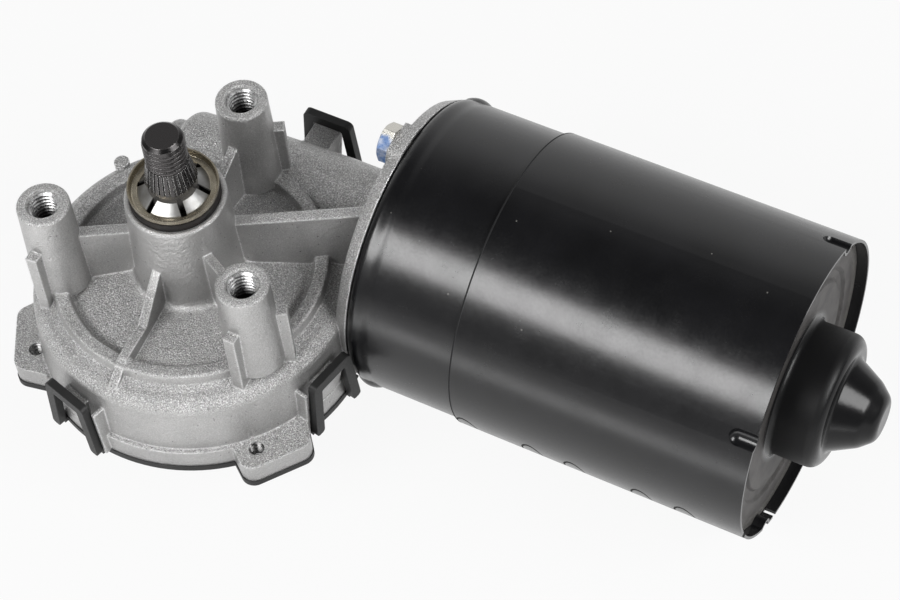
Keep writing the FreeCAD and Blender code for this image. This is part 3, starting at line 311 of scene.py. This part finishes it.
class Finish(Network):
    """A material made of nodes: a surface, a bump and the patterns that feed them."""

    def __init__(self, name, **constants):
        self.material = bpy.data.materials.new(name)
        super().__init__(self.material, "OUTPUT_MATERIAL")
        self.shader = next(n for n in self.tree.nodes if n.type == "BSDF_PRINCIPLED")
        for socket, value in constants.items():
            self.set(socket.replace("_", " ").title().replace("Ior", "IOR"), value)
        self.place = self.node("ShaderNodeTexCoord", {}, {}, "Object")

    def set(self, socket, value):
        """Sets or links one socket of the surface."""
        if isinstance(value, Amount):
            self.tree.links.new(value.socket, self.shader.inputs[socket])
        else:
            if socket == "Base Color":
                value = (*value, 1.0)
            self.shader.inputs[socket].default_value = value

    def noise(self, size, detail=2.0, rough=0.5):
        """Noise whose grains are about this many metres across."""
        inputs = {"Vector": self.place, "Scale": 1.0 / size, "Detail": detail, "Roughness": rough}
        return self.node("ShaderNodeTexNoise", {}, inputs, "Fac")

    def axes(self, place=None):
        """The three coordinates, one by one."""
        first = self.node("ShaderNodeSeparateXYZ", {}, {0: place or self.place})
        return [first.output(name) for name in "XYZ"]

    def shaft_polar(self):
        """Height, and distance from the output shaft's axis."""
        x, y, z = self.axes()
        return z, hypotenuse(x, y)

    def motor_polar(self):
        """Distance along the motor, and distance from its axis."""
        x, y, z = self.axes()
        return x, hypotenuse(y - MOTOR_AXIS.y, z - MOTOR_AXIS.z)

    def rounded_edges(self, radius):
        """The surface normal with its edges rounded, and how much of an edge each point is."""
        soft = self.node("ShaderNodeBevel", {"samples": 4}, {"Radius": radius})
        plain = self.node("ShaderNodeNewGeometry", {}, {}, "Normal")
        alike = self.node("ShaderNodeVectorMath", {"operation": "DOT_PRODUCT"}, {0: soft, 1: plain}, "Value")
        return soft, self.between(1.0 - alike, 0.01, 0.18)

    def bump(self, height, distance, strength=1.0, normal=None):
        """Feeds a bump to the surface."""
        inputs = {"Height": height, "Distance": distance, "Strength": strength}
        if normal is not None:
            inputs["Normal"] = normal
        self.set("Normal", self.node("ShaderNodeBump", {}, inputs, "Normal"))


def chosen(name):
    """One of the scene's colours for the motor."""
    return Vector(getattr(bpy.context.scene.wiper_colours, name))


def wear(material, *names):
    """Gives a material to CAD nodes."""
    for name in names:
        node = nodes[name]
        node.data.materials.clear()
        node.data.materials.append(material)


def only(piece):
    """Selects one object alone."""
    bpy.ops.object.select_all(action="DESELECT")
    piece.select_set(True)
    bpy.context.view_layer.objects.active = piece


def settle(piece, name, body, material):
    """Puts a piece's place in its mesh, smooths it, and rides it on its body."""
    piece.name = name
    piece.data.name = name
    only(piece)
    bpy.ops.object.transform_apply(location=True, rotation=True, scale=True)
    bpy.ops.object.shade_smooth_by_angle(angle=SMOOTH_ANGLE)
    piece.data.materials.clear()
    piece.data.materials.append(material)
    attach(piece, body)


def copied(piece, offset):
    """A copy of a piece with its own mesh, moved."""
    only(piece)
    bpy.ops.object.duplicate(linked=False)
    twin = bpy.context.active_object
    twin.location = twin.location + offset
    return twin


def helical_ridge(centre, radius, half_width, half_height, pitch, turns, steps, crest=-1.0):
    """A thread ridge: a four-sided section, narrow at its crest, screwed down round an upright axis.

    The crest is on the inside, for a bore, or with crest=1.0 on the outside, for a shaft.
    """
    bpy.ops.object.select_all(action="DESELECT")
    bpy.ops.mesh.primitive_circle_add(vertices=4, radius=math.sqrt(2.0), location=centre)
    ridge = bpy.context.active_object
    bpy.ops.object.mode_set(mode="EDIT")
    bpy.ops.mesh.select_all(action="SELECT")
    bpy.ops.transform.rotate(value=math.pi / 4, orient_axis="Z", center_override=tuple(centre))
    bpy.ops.transform.rotate(value=math.pi / 2, orient_axis="X", center_override=tuple(centre))
    bpy.ops.transform.resize(value=(half_height, 1.0, half_width), center_override=tuple(centre))
    bpy.ops.object.mode_set(mode="OBJECT")
    for vertex in ridge.data.vertices:
        vertex.select = vertex.co.x * crest > 0
    for edge in ridge.data.edges:
        edge.select = all(ridge.data.vertices[i].select for i in edge.vertices)
    bpy.ops.object.mode_set(mode="EDIT")
    bpy.ops.transform.resize(value=(1.0, 1.0, CREST_SHARE), center_override=tuple(centre))
    bpy.ops.mesh.select_all(action="SELECT")
    bpy.ops.transform.translate(value=(radius, 0.0, 0.0))
    bpy.ops.object.mode_set(mode="OBJECT")
    screw = ridge.modifiers.new("Thread", "SCREW")
    screw.axis = "Z"
    screw.angle = 2 * math.pi
    screw.screw_offset = -pitch
    screw.iterations = turns
    screw.steps = steps
    screw.render_steps = steps
    screw.use_merge_vertices = True
    screw.merge_threshold = 1e-6
    bpy.ops.object.modifier_apply(modifier=screw.name)
    bpy.ops.object.mode_set(mode="EDIT")
    bpy.ops.mesh.select_all(action="SELECT")
    bpy.ops.mesh.fill_holes(sides=4)
    bpy.ops.mesh.normals_make_consistent(inside=False)
    bpy.ops.object.mode_set(mode="OBJECT")
    return ridge


def casting_finish():
    """Blasted aluminium: grain that fades on the hub and on steep walls, white glints painted in as painted
    highlight on faces turned upward, and edges painted lighter, partly wear and partly painted highlight.
    """
    finish = Finish("blasted_aluminium", metallic=0.70)
    soft, edge = finish.rounded_edges(0.0008)
    radius = finish.shaft_polar()[1]
    tilt = finish.axes(finish.node("ShaderNodeTexCoord", {}, {}, "Normal"))[2]
    # Grain share: less on the hub and on steep walls, more on faces turned upward, where the light catches
    # the grain; the painted glints follow it.
    rough = finish.between(radius, *HUB_FADE, 0.45, 1.0) * finish.between(tilt, 0.05, 0.50, 0.28, 1.0)
    grain = finish.noise(0.00037, 2.0, 0.75)
    coarse = finish.noise(0.0011, 3.0, 0.65)
    mottle = finish.noise(0.011, 3.0, 0.55)
    # Painted highlight: white glints in the colour stand in for sparkles of light on the grain.
    painted_glint = finish.between(finish.noise(0.00031, 0.0, 0.0), 0.54, 0.68)
    colour = chosen("casting")
    body = finish.blend(finish.between(mottle, 0.35, 0.7), colour * 0.86, colour * 1.02)
    body = finish.blend(finish.between(grain, 0.54, 0.36) * rough * 0.85, body, colour * 0.40)
    body = finish.blend(painted_glint * rough * 0.55, body, (0.92, 0.92, 0.92))
    # Edges painted lighter: partly wear, partly painted highlight along the rounded edges.
    worn_and_lit_edges = edge * finish.between(grain, 0.36, 0.54, 0.1, 1.0)
    finish.set("Base Color", finish.blend(worn_and_lit_edges, body, (0.88, 0.88, 0.88)))
    finish.set("Roughness", finish.spread(coarse, 0.27, 0.38))
    finish.bump(grain * rough + coarse * 0.5, 0.00036, 1.0, soft)
    return finish.material


def thread_finish():
    """Cut aluminium threads: crests and the mouth painted bright as painted light near the top, and roots
    painted darker with depth as painted shade down the bore.
    """
    finish = Finish("cut_thread", metallic=0.9)
    x, y, z = finish.axes()
    nearest = finish.least(*(hypotenuse(x - centre.x, y - centre.y) for centre in POST_CENTRES))
    crest = finish.below(nearest, POST_CREST, 0.00035)
    near_mouth = finish.between(z, *POST_LIT_DEPTH)
    mouth = finish.above(z, POST_MOUTH, 0.0006)
    in_ear = finish.below(z, EAR_LEVEL, 0.002)
    marks = finish.noise(0.0006)
    # Painted shade: the roots darken with depth down the bore.
    dark = finish.blend(near_mouth, (0.012, 0.011, 0.010), (0.05, 0.048, 0.045))
    bright = finish.blend(finish.spread(marks), (0.55, 0.55, 0.55), (0.86, 0.86, 0.86))
    # Painted light: the crests near the mouth, the mouth itself and the ear holes are lit in the colour.
    lit = crest * near_mouth + mouth + in_ear * finish.spread(marks, 0.02, 0.3)
    finish.set("Base Color", finish.blend(lit, dark, bright))
    finish.set("Roughness", finish.spread(marks, 0.22, 0.38))
    finish.bump(marks, 0.00002, 0.5)
    return finish.material


def case_finish(name, seam):
    """Glossy black paint over steel: faint orange peel, specks of dust, a swage, and a rolled ring's seam."""
    finish = Finish(name)
    x = finish.axes()[0]
    peel = finish.noise(0.0024)
    wave = finish.noise(0.016)
    fine = finish.noise(0.0006, 1.0)
    haze = finish.noise(0.006, 4.0, 0.65)
    cells = {"Vector": finish.place, "Scale": 130.0}
    nearest = finish.node("ShaderNodeTexVoronoi", {"feature": "F1"}, cells, "Distance")
    speck = finish.between(nearest, 0.032, 0.020)
    paint = chosen("paint")
    colour = finish.blend(finish.spread(wave), paint, paint * 1.8)
    colour = finish.blend(speck * 0.8, colour, (0.15, 0.145, 0.135))
    rough = finish.spread(fine, 0.20, 0.24) + finish.between(haze, 0.35, 0.65, 0.0, 0.04) + speck * 0.3
    swage = finish.between(finish.math("ABSOLUTE", x - SWAGE_PLACE), SWAGE_HALF, 0.0)
    height = peel * 0.6 + fine * 0.05 + wave * 2.8 - swage * swage * (3.0 - swage * 2.0) * 9.0
    if seam:
        lip = finish.below(x, RING_START + LIP_WIDTH, 0.0002)
        line = seam_line(finish)
        colour = finish.blend(line, colour, (0.0, 0.0, 0.0))
        rough = rough + lip * 0.8 + line * 0.8
        height = height - line * 9.0
    finish.set("Base Color", colour)
    finish.set("Roughness", rough)
    finish.bump(height, 0.00003, 0.5)
    return finish.material


def seam_line(finish):
    """The ring's butt seam, keyed together by rounded tongues, as a thin line."""
    x, y, z = finish.axes()
    turn = finish.math("ARCTAN2", z - MOTOR_AXIS.z, y - MOTOR_AXIS.y)
    across = (SEAM_ANGLE - turn) * SEAM_RADIUS
    wraps = (finish.math("WRAP", x - place, TONGUE_PERIOD / 2, -TONGUE_PERIOD / 2) for place in TONGUE_PLACES)
    nearest = finish.least(*(finish.math("ABSOLUTE", wrap) for wrap in wraps))
    reach = hypotenuse(nearest / TONGUE_HALF, across / TONGUE_LENGTH)
    rim = finish.between(finish.math("ABSOLUTE", reach - 1.0), 0.10, 0.05) * (across > 0.0)
    straight = finish.below(finish.math("ABSOLUTE", across), SEAM_HALF, 0.0001) * (reach > 1.0)
    return finish.math("MAXIMUM", rim, straight)


def plate_finish():
    """The end plate's paint: glossy on the nose, duller on the cup's wall, gritty on the flat face."""
    finish = Finish("end_plate_paint", specular_ior_level=0.28)
    x, radius = finish.motor_polar()
    flat = finish.above(radius, PLATE_FLAT_RADIUS, 0.002)
    rim = finish.above(radius, PLATE_RIM_RADIUS, 0.0012)
    wall = finish.above(radius, CUP_RADIUS - 0.0007, 0.001) * finish.above(x, PLATE_FACE + 0.00075, 0.0015)
    wall = wall * (1.0 - flat)
    peel = finish.noise(0.0012)
    grit = finish.noise(0.00045, 3.0, 0.7)
    dust = finish.noise(0.006, 3.0, 0.6)
    face = finish.blend(finish.between(dust, 0.35, 0.65), (0.040, 0.037, 0.036), (0.085, 0.080, 0.077))
    face = finish.blend(finish.between(grit, 0.60, 0.40) * 0.5, face, (0.014, 0.013, 0.013))
    face = finish.blend(rim * finish.between(grit, 0.42, 0.62), face, (0.16, 0.155, 0.145))
    finish.set("Base Color", finish.blend(flat, chosen("paint"), face))
    finish.set("Roughness", 0.17 + flat * 0.29 + wall * 0.30 + grit * 0.08)
    finish.bump(peel * 0.3 + grit * (flat * 1.4 + rim * 2.6), 0.00008, 0.8)
    return finish.material


def plastic_finish():
    """Moulded black plastic, finely textured, with rounded edges painted paler as a painted highlight."""
    finish = Finish("moulded_cover", specular_ior_level=0.3)
    soft, edge = finish.rounded_edges(0.0004)
    fine = finish.noise(0.00035, 2.0, 0.6)
    colour = chosen("plastic")
    body = finish.blend(finish.spread(finish.noise(0.007)), colour, colour * 1.6)
    # Painted highlight: the rounded edges are painted paler.
    finish.set("Base Color", finish.blend(edge * 0.5, body, (0.07, 0.07, 0.07)))
    finish.set("Roughness", finish.spread(fine, 0.40, 0.55))
    finish.bump(fine, 0.00003, 0.6, soft)
    return finish.material


def shaft_finish():
    """Phosphated steel: the cone's valleys painted dark as painted shade, edges painted bright, partly wear
    and partly painted highlight, and a ground ring at the journal.
    """
    finish = Finish("phosphated_steel", metallic=0.8)
    soft, edge = finish.rounded_edges(0.00015)
    z, radius = finish.shaft_polar()
    ground = finish.below(z, JOURNAL_TOP, 0.0003)
    tip = finish.above(z, TIP_FACE, 0.0001)
    chamfer = finish.above(z, CHAMFER_START, 0.0003) - tip
    on_cone = finish.below(z, CONE_TOP, 0.0002)
    depth = CONE_FOOT_RADIUS - (z - CONE_FOOT) * CONE_SLOPE - radius
    valley = finish.above(depth, 0.0002, 0.0002) * on_cone
    fine = finish.noise(0.0004, 2.0, 0.6)
    patch = finish.noise(0.004)
    colour = chosen("shaft")
    body = finish.blend(finish.between(patch, 0.35, 0.7), colour, colour * 1.5)
    # The cone's valleys are painted nearly black, as painted shade between the teeth.
    for share, tone in ((tip, 1.1), (chamfer, 0.35), (on_cone, 0.6), (valley, 0.06)):
        body = finish.blend(share, body, colour * tone)
    # Edge colour: partly wear, partly painted highlight, brightest on the cone's teeth.
    bright = finish.blend(on_cone, (0.34, 0.335, 0.33), (0.70, 0.69, 0.68))
    worn_and_lit_edges = finish.blend(edge * finish.between(fine, 0.35, 0.6, 0.3, 1.0), body, bright)
    finish.set("Base Color", finish.blend(ground, worn_and_lit_edges, (0.28, 0.27, 0.26)))
    finish.set("Roughness", finish.spread(fine, 0.20, 0.30) - ground * 0.04)
    finish.bump(fine * 0.6, 0.00003, 0.5, soft)
    return finish.material


def zinc_finish():
    """Zinc plating: a faint warm tone and a soft sheen."""
    finish = Finish("zinc_plate", metallic=0.95)
    soft, edge = finish.rounded_edges(0.0002)
    fine = finish.noise(0.0003)
    zinc = chosen("zinc")
    warm = (zinc.x * 0.80, zinc.y * 0.72, zinc.z * 0.56)
    colour = finish.blend(finish.spread(finish.noise(0.004, 3.0, 0.6), 0.0, 0.25), zinc, warm)
    # Painted highlight: the rounded edges are painted lighter.
    finish.set("Base Color", finish.blend(edge * 0.5, colour, (0.80, 0.79, 0.76)))
    finish.set("Roughness", finish.spread(fine, 0.16, 0.30))
    finish.bump(fine, 0.000012, 0.6, soft)
    return finish.material


def washer_finish():
    """The spring washer: grey petals, and a glossier tan ring and rim."""
    finish = Finish("spring_washer_plate", metallic=0.9)
    flat = finish.above(finish.shaft_polar()[1], PETAL_END, 0.0004)
    tone = finish.between(finish.noise(0.003, 3.0, 0.6), 0.35, 0.7)
    fine = finish.noise(0.0003)
    petals = finish.blend(tone, (0.34, 0.34, 0.337), (0.25, 0.243, 0.228))
    tan = finish.blend(tone, (0.50, 0.455, 0.36), (0.33, 0.29, 0.22))
    finish.set("Base Color", finish.blend(flat, petals, tan))
    finish.set("Roughness", 0.30 - flat * 0.08 + fine * 0.08)
    finish.bump(fine, 0.00001, 0.5)
    return finish.material


def bolt_finish():
    """Zinc-plated bolts, with blue locking paint on the side that faces the output shaft."""
    finish = Finish("painted_bolt", metallic=0.7)
    soft, edge = finish.rounded_edges(0.0003)
    blotch = finish.noise(0.0016, 3.0, 0.6)
    fine = finish.noise(0.0003)
    painted = finish.below(finish.axes()[1] + blotch * 0.004, PAINT_EDGE, 0.0013)
    # Painted highlight: the rounded edges of the plating are painted lighter.
    plated = finish.blend(edge * 0.5, chosen("zinc"), (0.85, 0.85, 0.83))
    blue = chosen("lock_paint")
    pale = blue.lerp(Vector((0.75, 0.75, 0.75)), 0.35)
    paint = finish.blend(finish.between(blotch, 0.4, 0.6), blue, pale)
    finish.set("Base Color", finish.blend(painted, plated, paint))
    finish.set("Metallic", 0.9 - painted * 0.75)
    finish.set("Roughness", finish.spread(fine, 0.22, 0.36))
    finish.bump(fine * 0.5 + blotch * 0.2, 0.00003, 0.6, soft)
    return finish.material


def rubber_finish():
    """Soft black rubber with a dusty bloom."""
    finish = Finish("black_rubber", specular_ior_level=0.25)
    fine = finish.noise(0.0004, 3.0, 0.6)
    bloom = finish.between(finish.noise(0.003, 3.0, 0.6), 0.35, 0.7)
    finish.set("Base Color", finish.blend(bloom, (0.004, 0.0035, 0.0035), (0.015, 0.012, 0.010)))
    finish.set("Roughness", finish.spread(fine, 0.5, 0.75))
    finish.bump(fine, 0.00003, 0.6)
    return finish.material


def plain_metal(name, dark, light, grain, roughness, metallic=0.9):
    """A metal inside the motor: two tones, a grain size and a roughness."""
    finish = Finish(name, metallic=metallic)
    tone = finish.noise(grain * 8, 3.0, 0.55)
    fine = finish.noise(grain, 2.0, 0.6)
    finish.set("Base Color", finish.blend(finish.spread(tone), dark, light))
    finish.set("Roughness", finish.spread(fine, roughness, roughness + 0.14))
    finish.bump(fine, grain * 0.08, 0.6)
    return finish.material


def laminated_finish():
    """Stacked iron sheets seen on edge."""
    finish = Finish("iron_laminations", metallic=0.7)
    sheets = finish.math("PINGPONG", finish.axes()[0], SHEET_THICKNESS) * (1.0 / SHEET_THICKNESS)
    fine = finish.noise(0.0004, 2.0, 0.6)
    iron = finish.blend(finish.between(sheets, 0.1, 0.5), (0.06, 0.06, 0.065), (0.27, 0.27, 0.28))
    finish.set("Base Color", iron)
    finish.set("Roughness", finish.spread(fine, 0.35, 0.55))
    finish.bump(sheets + fine * 0.3, 0.00008, 0.7)
    return finish.material


def wound_finish():
    """Enamelled copper wire wound in layers."""
    finish = Finish("wound_copper", metallic=0.85, coat_weight=0.4)
    bands = {"Vector": finish.place, "Scale": 330.0, "Distortion": 2.5, "Detail": 1.0}
    strands = finish.node("ShaderNodeTexWave", {"wave_type": "BANDS", "bands_direction": "Z"}, bands, "Fac")
    body = finish.blend(finish.spread(finish.noise(0.004)), (0.46, 0.17, 0.06), (0.60, 0.26, 0.10))
    # Painted shade: the gaps between the strands are painted dark brown.
    finish.set("Base Color", finish.blend(finish.between(strands, 0.0, 0.35), (0.10, 0.03, 0.01), body))
    finish.set("Roughness", finish.between(strands, 0.0, 1.0, 0.45, 0.25))
    finish.bump(strands, 0.00012, 0.8)
    return finish.material


def moulded_finish(name, dark, light, roughness):
    """A moulded or pressed insulating part."""
    finish = Finish(name)
    tone = finish.noise(0.005, 3.0, 0.55)
    fine = finish.noise(0.0004, 2.0, 0.6)
    finish.set("Base Color", finish.blend(finish.spread(tone), dark, light))
    finish.set("Roughness", finish.spread(fine, roughness, roughness + 0.12))
    finish.bump(fine, 0.00003, 0.5)
    return finish.material


class DressCasting(bpy.types.Operator):
    """Gives the gearbox casting its blasted aluminium finish"""
    bl_idname = "wiper_motor.casting"
    bl_label = "Casting"

    def execute(self, context):
        wear(casting_finish(), "gear_housing")
        return {"FINISHED"}


def settle_threads(name, ridge, places, material):
    """Settles the thread of the first of some like holes, and a copy of it in each of the others."""
    ridges = [ridge] + [copied(ridge, place - places[0]) for place in places[1:]]
    for number, each in enumerate(ridges, start=1):
        settle(each, "%s_%d" % (name, number), "gearbox", material)


class CutThreads(bpy.types.Operator):
    """Adds the threads in the three mounting posts and the two ear holes"""
    bl_idname = "wiper_motor.bore_threads"
    bl_label = "Bore threads"

    def execute(self, context):
        sizes = context.scene.wiper_sizes
        material = thread_finish()
        half = sizes.post_ridge / 2
        turns = int(sizes.post_depth / sizes.post_pitch)
        post = helical_ridge(
            POST_CENTRES[0] + POST_THREAD_TOP, POST_BORE - half, sizes.post_pitch * BORE_RIDGE_SHARE, half,
            sizes.post_pitch, turns, sizes.thread_steps)
        settle_threads("post_thread", post, POST_CENTRES, material)
        ear = helical_ridge(
            EAR_HOLES[0] + EAR_THREAD_TOP, EAR_BORE, sizes.ear_pitch * BORE_RIDGE_SHARE, EAR_RIDGE_HALF,
            sizes.ear_pitch, EAR_TURNS, sizes.thread_steps)
        settle_threads("ear_thread", ear, EAR_HOLES, material)
        return {"FINISHED"}


class DressShaft(bpy.types.Operator):
    """Gives the output shaft its dark finish and adds the thread on its tip"""
    bl_idname = "wiper_motor.output_shaft"
    bl_label = "Output shaft"

    def execute(self, context):
        sizes = context.scene.wiper_sizes
        material = shaft_finish()
        wear(material, "output_shaft")
        half = sizes.shaft_ridge / 2
        ridge = helical_ridge(
            TIP_THREAD_TOP, TIP_THREAD_RADIUS + half, sizes.shaft_pitch * TIP_RIDGE_SHARE, half,
            sizes.shaft_pitch, TIP_TURNS, TIP_STEPS, crest=1.0)
        settle(ridge, "shaft_tip_thread", "output", material)
        return {"FINISHED"}


class DressWasher(bpy.types.Operator):
    """Finishes the star washer and the seals"""
    bl_idname = "wiper_motor.washer"
    bl_label = "Star washer and seals"

    def execute(self, context):
        wear(washer_finish(), "star_washer")
        wear(rubber_finish(), "shaft_seal", "cover_gasket")
        return {"FINISHED"}


class DressCover(bpy.types.Operator):
    """Gives the moulded cover and its snap loops their black plastic"""
    bl_idname = "wiper_motor.cover"
    bl_label = "Cover"

    def execute(self, context):
        wear(plastic_finish(), "housing_cover")
        return {"FINISHED"}


class DressCase(bpy.types.Operator):
    """Paints the motor case"""
    bl_idname = "wiper_motor.case"
    bl_label = "Motor case"

    def execute(self, context):
        wear(case_finish("tube_paint", False), "motor_tube")
        wear(case_finish("ring_paint", True), "flux_ring")
        wear(plate_finish(), "end_plate")
        return {"FINISHED"}


class DressFasteners(bpy.types.Operator):
    """Finishes the case bolts, the thrust screw and the small clips"""
    bl_idname = "wiper_motor.fasteners"
    bl_label = "Fasteners"

    def execute(self, context):
        wear(bolt_finish(), "tube_bolts")
        wear(zinc_finish(), "thrust_screw", "bush_retainer", "magnet_clips")
        return {"FINISHED"}


class DressDrive(bpy.types.Operator):
    """Finishes the worm drive, the bearings and the armature"""
    bl_idname = "wiper_motor.drive"
    bl_label = "Drive and armature"

    def execute(self, context):
        steel = plain_metal("ground_steel", (0.42, 0.42, 0.42), (0.56, 0.56, 0.56), 0.0004, 0.20)
        bronze = plain_metal("sintered_bronze", (0.30, 0.18, 0.08), (0.42, 0.27, 0.13), 0.0005, 0.45)
        plastic = moulded_finish("wheel_plastic", (0.62, 0.60, 0.52), (0.74, 0.72, 0.64), 0.30)
        copper = plain_metal("drawn_copper", (0.46, 0.20, 0.09), (0.62, 0.30, 0.15), 0.0004, 0.25)
        wear(steel, "armature_shaft", "bearing_inner_race", "bearing_outer_race", "thrust_ball")
        wear(steel, "thrust_washer", "wheel_insert", "brush_springs")
        wear(bronze, "upper_bush", "lower_bush", "tail_bush", "end_bush")
        wear(plastic, "worm_wheel", "thrust_pad")
        wear(laminated_finish(), "lamination_stack")
        wear(wound_finish(), "armature_windings")
        wear(copper, "commutator_bars")
        return {"FINISHED"}


class DressElectrics(bpy.types.Operator):
    """Finishes the magnets, the brush gear and the park switch"""
    bl_idname = "wiper_motor.electrics"
    bl_label = "Electrics"

    def execute(self, context):
        laminate = moulded_finish("pressed_laminate", (0.15, 0.06, 0.025), (0.24, 0.11, 0.045), 0.42)
        brass = plain_metal("contact_brass", (0.52, 0.36, 0.13), (0.66, 0.48, 0.20), 0.0004, 0.24)
        ferrite = plain_metal("ferrite", (0.045, 0.045, 0.047), (0.085, 0.084, 0.083), 0.0006, 0.55, 0.2)
        carbon = plain_metal("carbon", (0.02, 0.02, 0.021), (0.05, 0.05, 0.05), 0.0004, 0.42, 0.3)
        wear(laminate, "switch_plate", "brush_plate", "commutator_core")
        wear(brass, "park_contacts", "connector_pins", "track_disc", "brush_holders")
        wear(ferrite, "field_magnets", "suppression_chokes")
        wear(carbon, "brushes")
        return {"FINISHED"}


def towards(azimuth, elevation):
    """The direction of a place seen at these degrees round and above the motor."""
    a, e = math.radians(azimuth), math.radians(elevation)
    return Vector((math.sin(a) * math.cos(e), -math.cos(a) * math.cos(e), math.sin(e)))


def panel_light(name, place, away, width, height, radiance):
    """A rectangular light at a place, turned to shine against a direction."""
    lamp = bpy.data.lights.new(name, "AREA")
    lamp.shape = "RECTANGLE"
    lamp.size = width
    lamp.size_y = height
    lamp.energy = radiance * math.pi * width * height
    light = bpy.data.objects.new(name, lamp)
    bpy.context.scene.collection.objects.link(light)
    light.location = place
    light.rotation_euler = away.to_track_quat("Z", "Y").to_euler()


def make_lights(middle, low, distance):
    """Two softboxes that face the motor, and a card that lights its lower front from the floor."""
    for name, (azimuth, elevation, width) in SOFTBOXES.items():
        away = towards(azimuth, elevation)
        panel_light(name, middle + away * distance, away, width, SOFTBOX_HEIGHT, SOFTBOX_RADIANCE)
    card_place = Vector((*CARD_PLACE, low.z + CARD_LIFT))
    panel_light("front_card", card_place, Vector((0, 0, -1)), *CARD_SIZE, CARD_RADIANCE)


def floor_finish():
    """A white floor that stays white to the camera and in reflections, and still takes the shadow."""
    finish = Finish("pale_floor", base_color=(0.48, 0.48, 0.48), roughness=0.9, specular_ior_level=0.0)
    path = finish.node("ShaderNodeLightPath", {}, {})
    seen = path.output("Is Camera Ray") + path.output("Is Glossy Ray") + path.output("Is Transmission Ray")
    glow = finish.node("ShaderNodeEmission", {}, {"Color": (1, 1, 1, 1), "Strength": 1.0})
    surface = Amount(finish, finish.shader.outputs[0])
    finish.cover(finish.node("ShaderNodeMixShader", {}, {0: seen * 0.92, 1: surface, 2: glow}))
    return finish.material


def make_floor(context, middle, low):
    """A wide plane just below the motor, for the stage alone."""
    bpy.ops.object.select_all(action="DESELECT")
    bpy.ops.mesh.primitive_plane_add(size=FLOOR_SIZE, location=(middle.x, middle.y, low.z - FLOOR_GAP))
    floor = context.active_object
    floor.name = "floor"
    bpy.ops.object.mode_set(mode="EDIT")
    bpy.ops.mesh.select_all(action="SELECT")
    bpy.ops.mesh.subdivide(number_cuts=3)
    bpy.ops.object.mode_set(mode="OBJECT")
    only(floor)
    bpy.ops.object.transform_apply(location=True)
    floor.data.materials.append(floor_finish())


def make_world(scene):
    """A studio world: dark overhead, mid grey at the sides, and white to the camera."""
    world = bpy.data.worlds.new("studio")
    scene.world = world
    studio = Network(world, "OUTPUT_WORLD")
    place = studio.node("ShaderNodeTexCoord", {}, {}, "Generated")
    parts = studio.node("ShaderNodeSeparateXYZ", {}, {0: place})
    x, y, z = (parts.output(name) for name in "XYZ")
    behind = studio.between(y, 0.0, 0.4) * studio.between(x, 0.35, -0.1)
    backdrop = studio.ramp(z, (0.0, 0.95), (0.48, 0.90), (0.62, 0.72), (0.80, 0.30), (0.93, 0.06))
    sides = studio.ramp(z, (0.0, 0.36), (0.40, 0.30), (0.70, 0.14), (0.93, 0.05))
    level = studio.blend(behind, sides, backdrop)
    room = studio.node("ShaderNodeBackground", {}, {"Color": level, "Strength": 1.0})
    white = studio.node("ShaderNodeBackground", {}, {"Color": (1, 1, 1, 1), "Strength": 1.0})
    seen = studio.node("ShaderNodeLightPath", {}, {}, "Is Camera Ray")
    studio.cover(studio.node("ShaderNodeMixShader", {}, {0: seen, 1: room, 2: white}))


def make_camera(scene):
    """The camera at the photograph's place and angle."""
    back = towards(CAMERA_AZIMUTH, CAMERA_ELEVATION)
    level_right = towards(CAMERA_AZIMUTH + 90.0, 0.0)
    level_up = back.cross(level_right)
    right = level_right * math.cos(CAMERA_ROLL) + level_up * math.sin(CAMERA_ROLL)
    up = level_up * math.cos(CAMERA_ROLL) - level_right * math.sin(CAMERA_ROLL)
    camera = bpy.data.objects.new("camera", bpy.data.cameras.new("camera"))
    scene.collection.objects.link(camera)
    camera.matrix_world = Matrix.Translation(CAMERA_PLACE) @ Matrix((right, up, back)).transposed().to_4x4()
    camera.data.sensor_width = SENSOR_WIDTH
    camera.data.lens = FOCAL_PIXELS / PICTURE_WIDTH * SENSOR_WIDTH
    camera.data.clip_start = 0.01
    camera.data.clip_end = 50.0
    scene.camera = camera


class SetStage(bpy.types.Operator):
    """Sets the floor, the studio lights and the camera at the photograph's angle"""
    bl_idname = "wiper_motor.stage"
    bl_label = "Stage"

    def execute(self, context):
        scene = context.scene
        scene.view_settings.view_transform = "Standard"
        low, high = cad_box
        middle = (low + high) / 2
        make_floor(context, middle, low)
        make_lights(middle, low, scene.wiper_sizes.light_distance)
        make_world(scene)
        make_camera(scene)
        return {"FINISHED"}


STEPS = (DressCasting, CutThreads, DressShaft, DressWasher, DressCover, DressCase, DressFasteners,
         DressDrive, DressElectrics, SetStage)


class MotorPanel(bpy.types.Panel):
    """Lists the steps that dress the wiper motor"""
    bl_idname = "VIEW3D_PT_wiper_motor"
    bl_label = "Wiper Motor"
    bl_space_type = "VIEW_3D"
    bl_region_type = "UI"
    bl_category = "Wiper Motor"

    def draw(self, context):
        for step in STEPS:
            self.layout.operator(step.bl_idname)
        for group in (context.scene.wiper_sizes, context.scene.wiper_colours):
            column = self.layout.column(align=True)
            for name in group.__annotations__:
                column.prop(group, name)


CLASSES = (MotorSizes, MotorColours, *STEPS, MotorPanel)


def register():
    for item in CLASSES:
        bpy.utils.register_class(item)
    bpy.types.Scene.wiper_sizes = PointerProperty(type=MotorSizes)
    bpy.types.Scene.wiper_colours = PointerProperty(type=MotorColours)


def unregister():
    del bpy.types.Scene.wiper_colours
    del bpy.types.Scene.wiper_sizes
    for item in reversed(CLASSES):
        bpy.utils.unregister_class(item)


def main():
    """Dresses the motor step by step."""
    register()
    for step in STEPS:
        family, name = step.bl_idname.split(".")
        getattr(getattr(bpy.ops, family), name)()


if __name__ == "__main__":
    main()
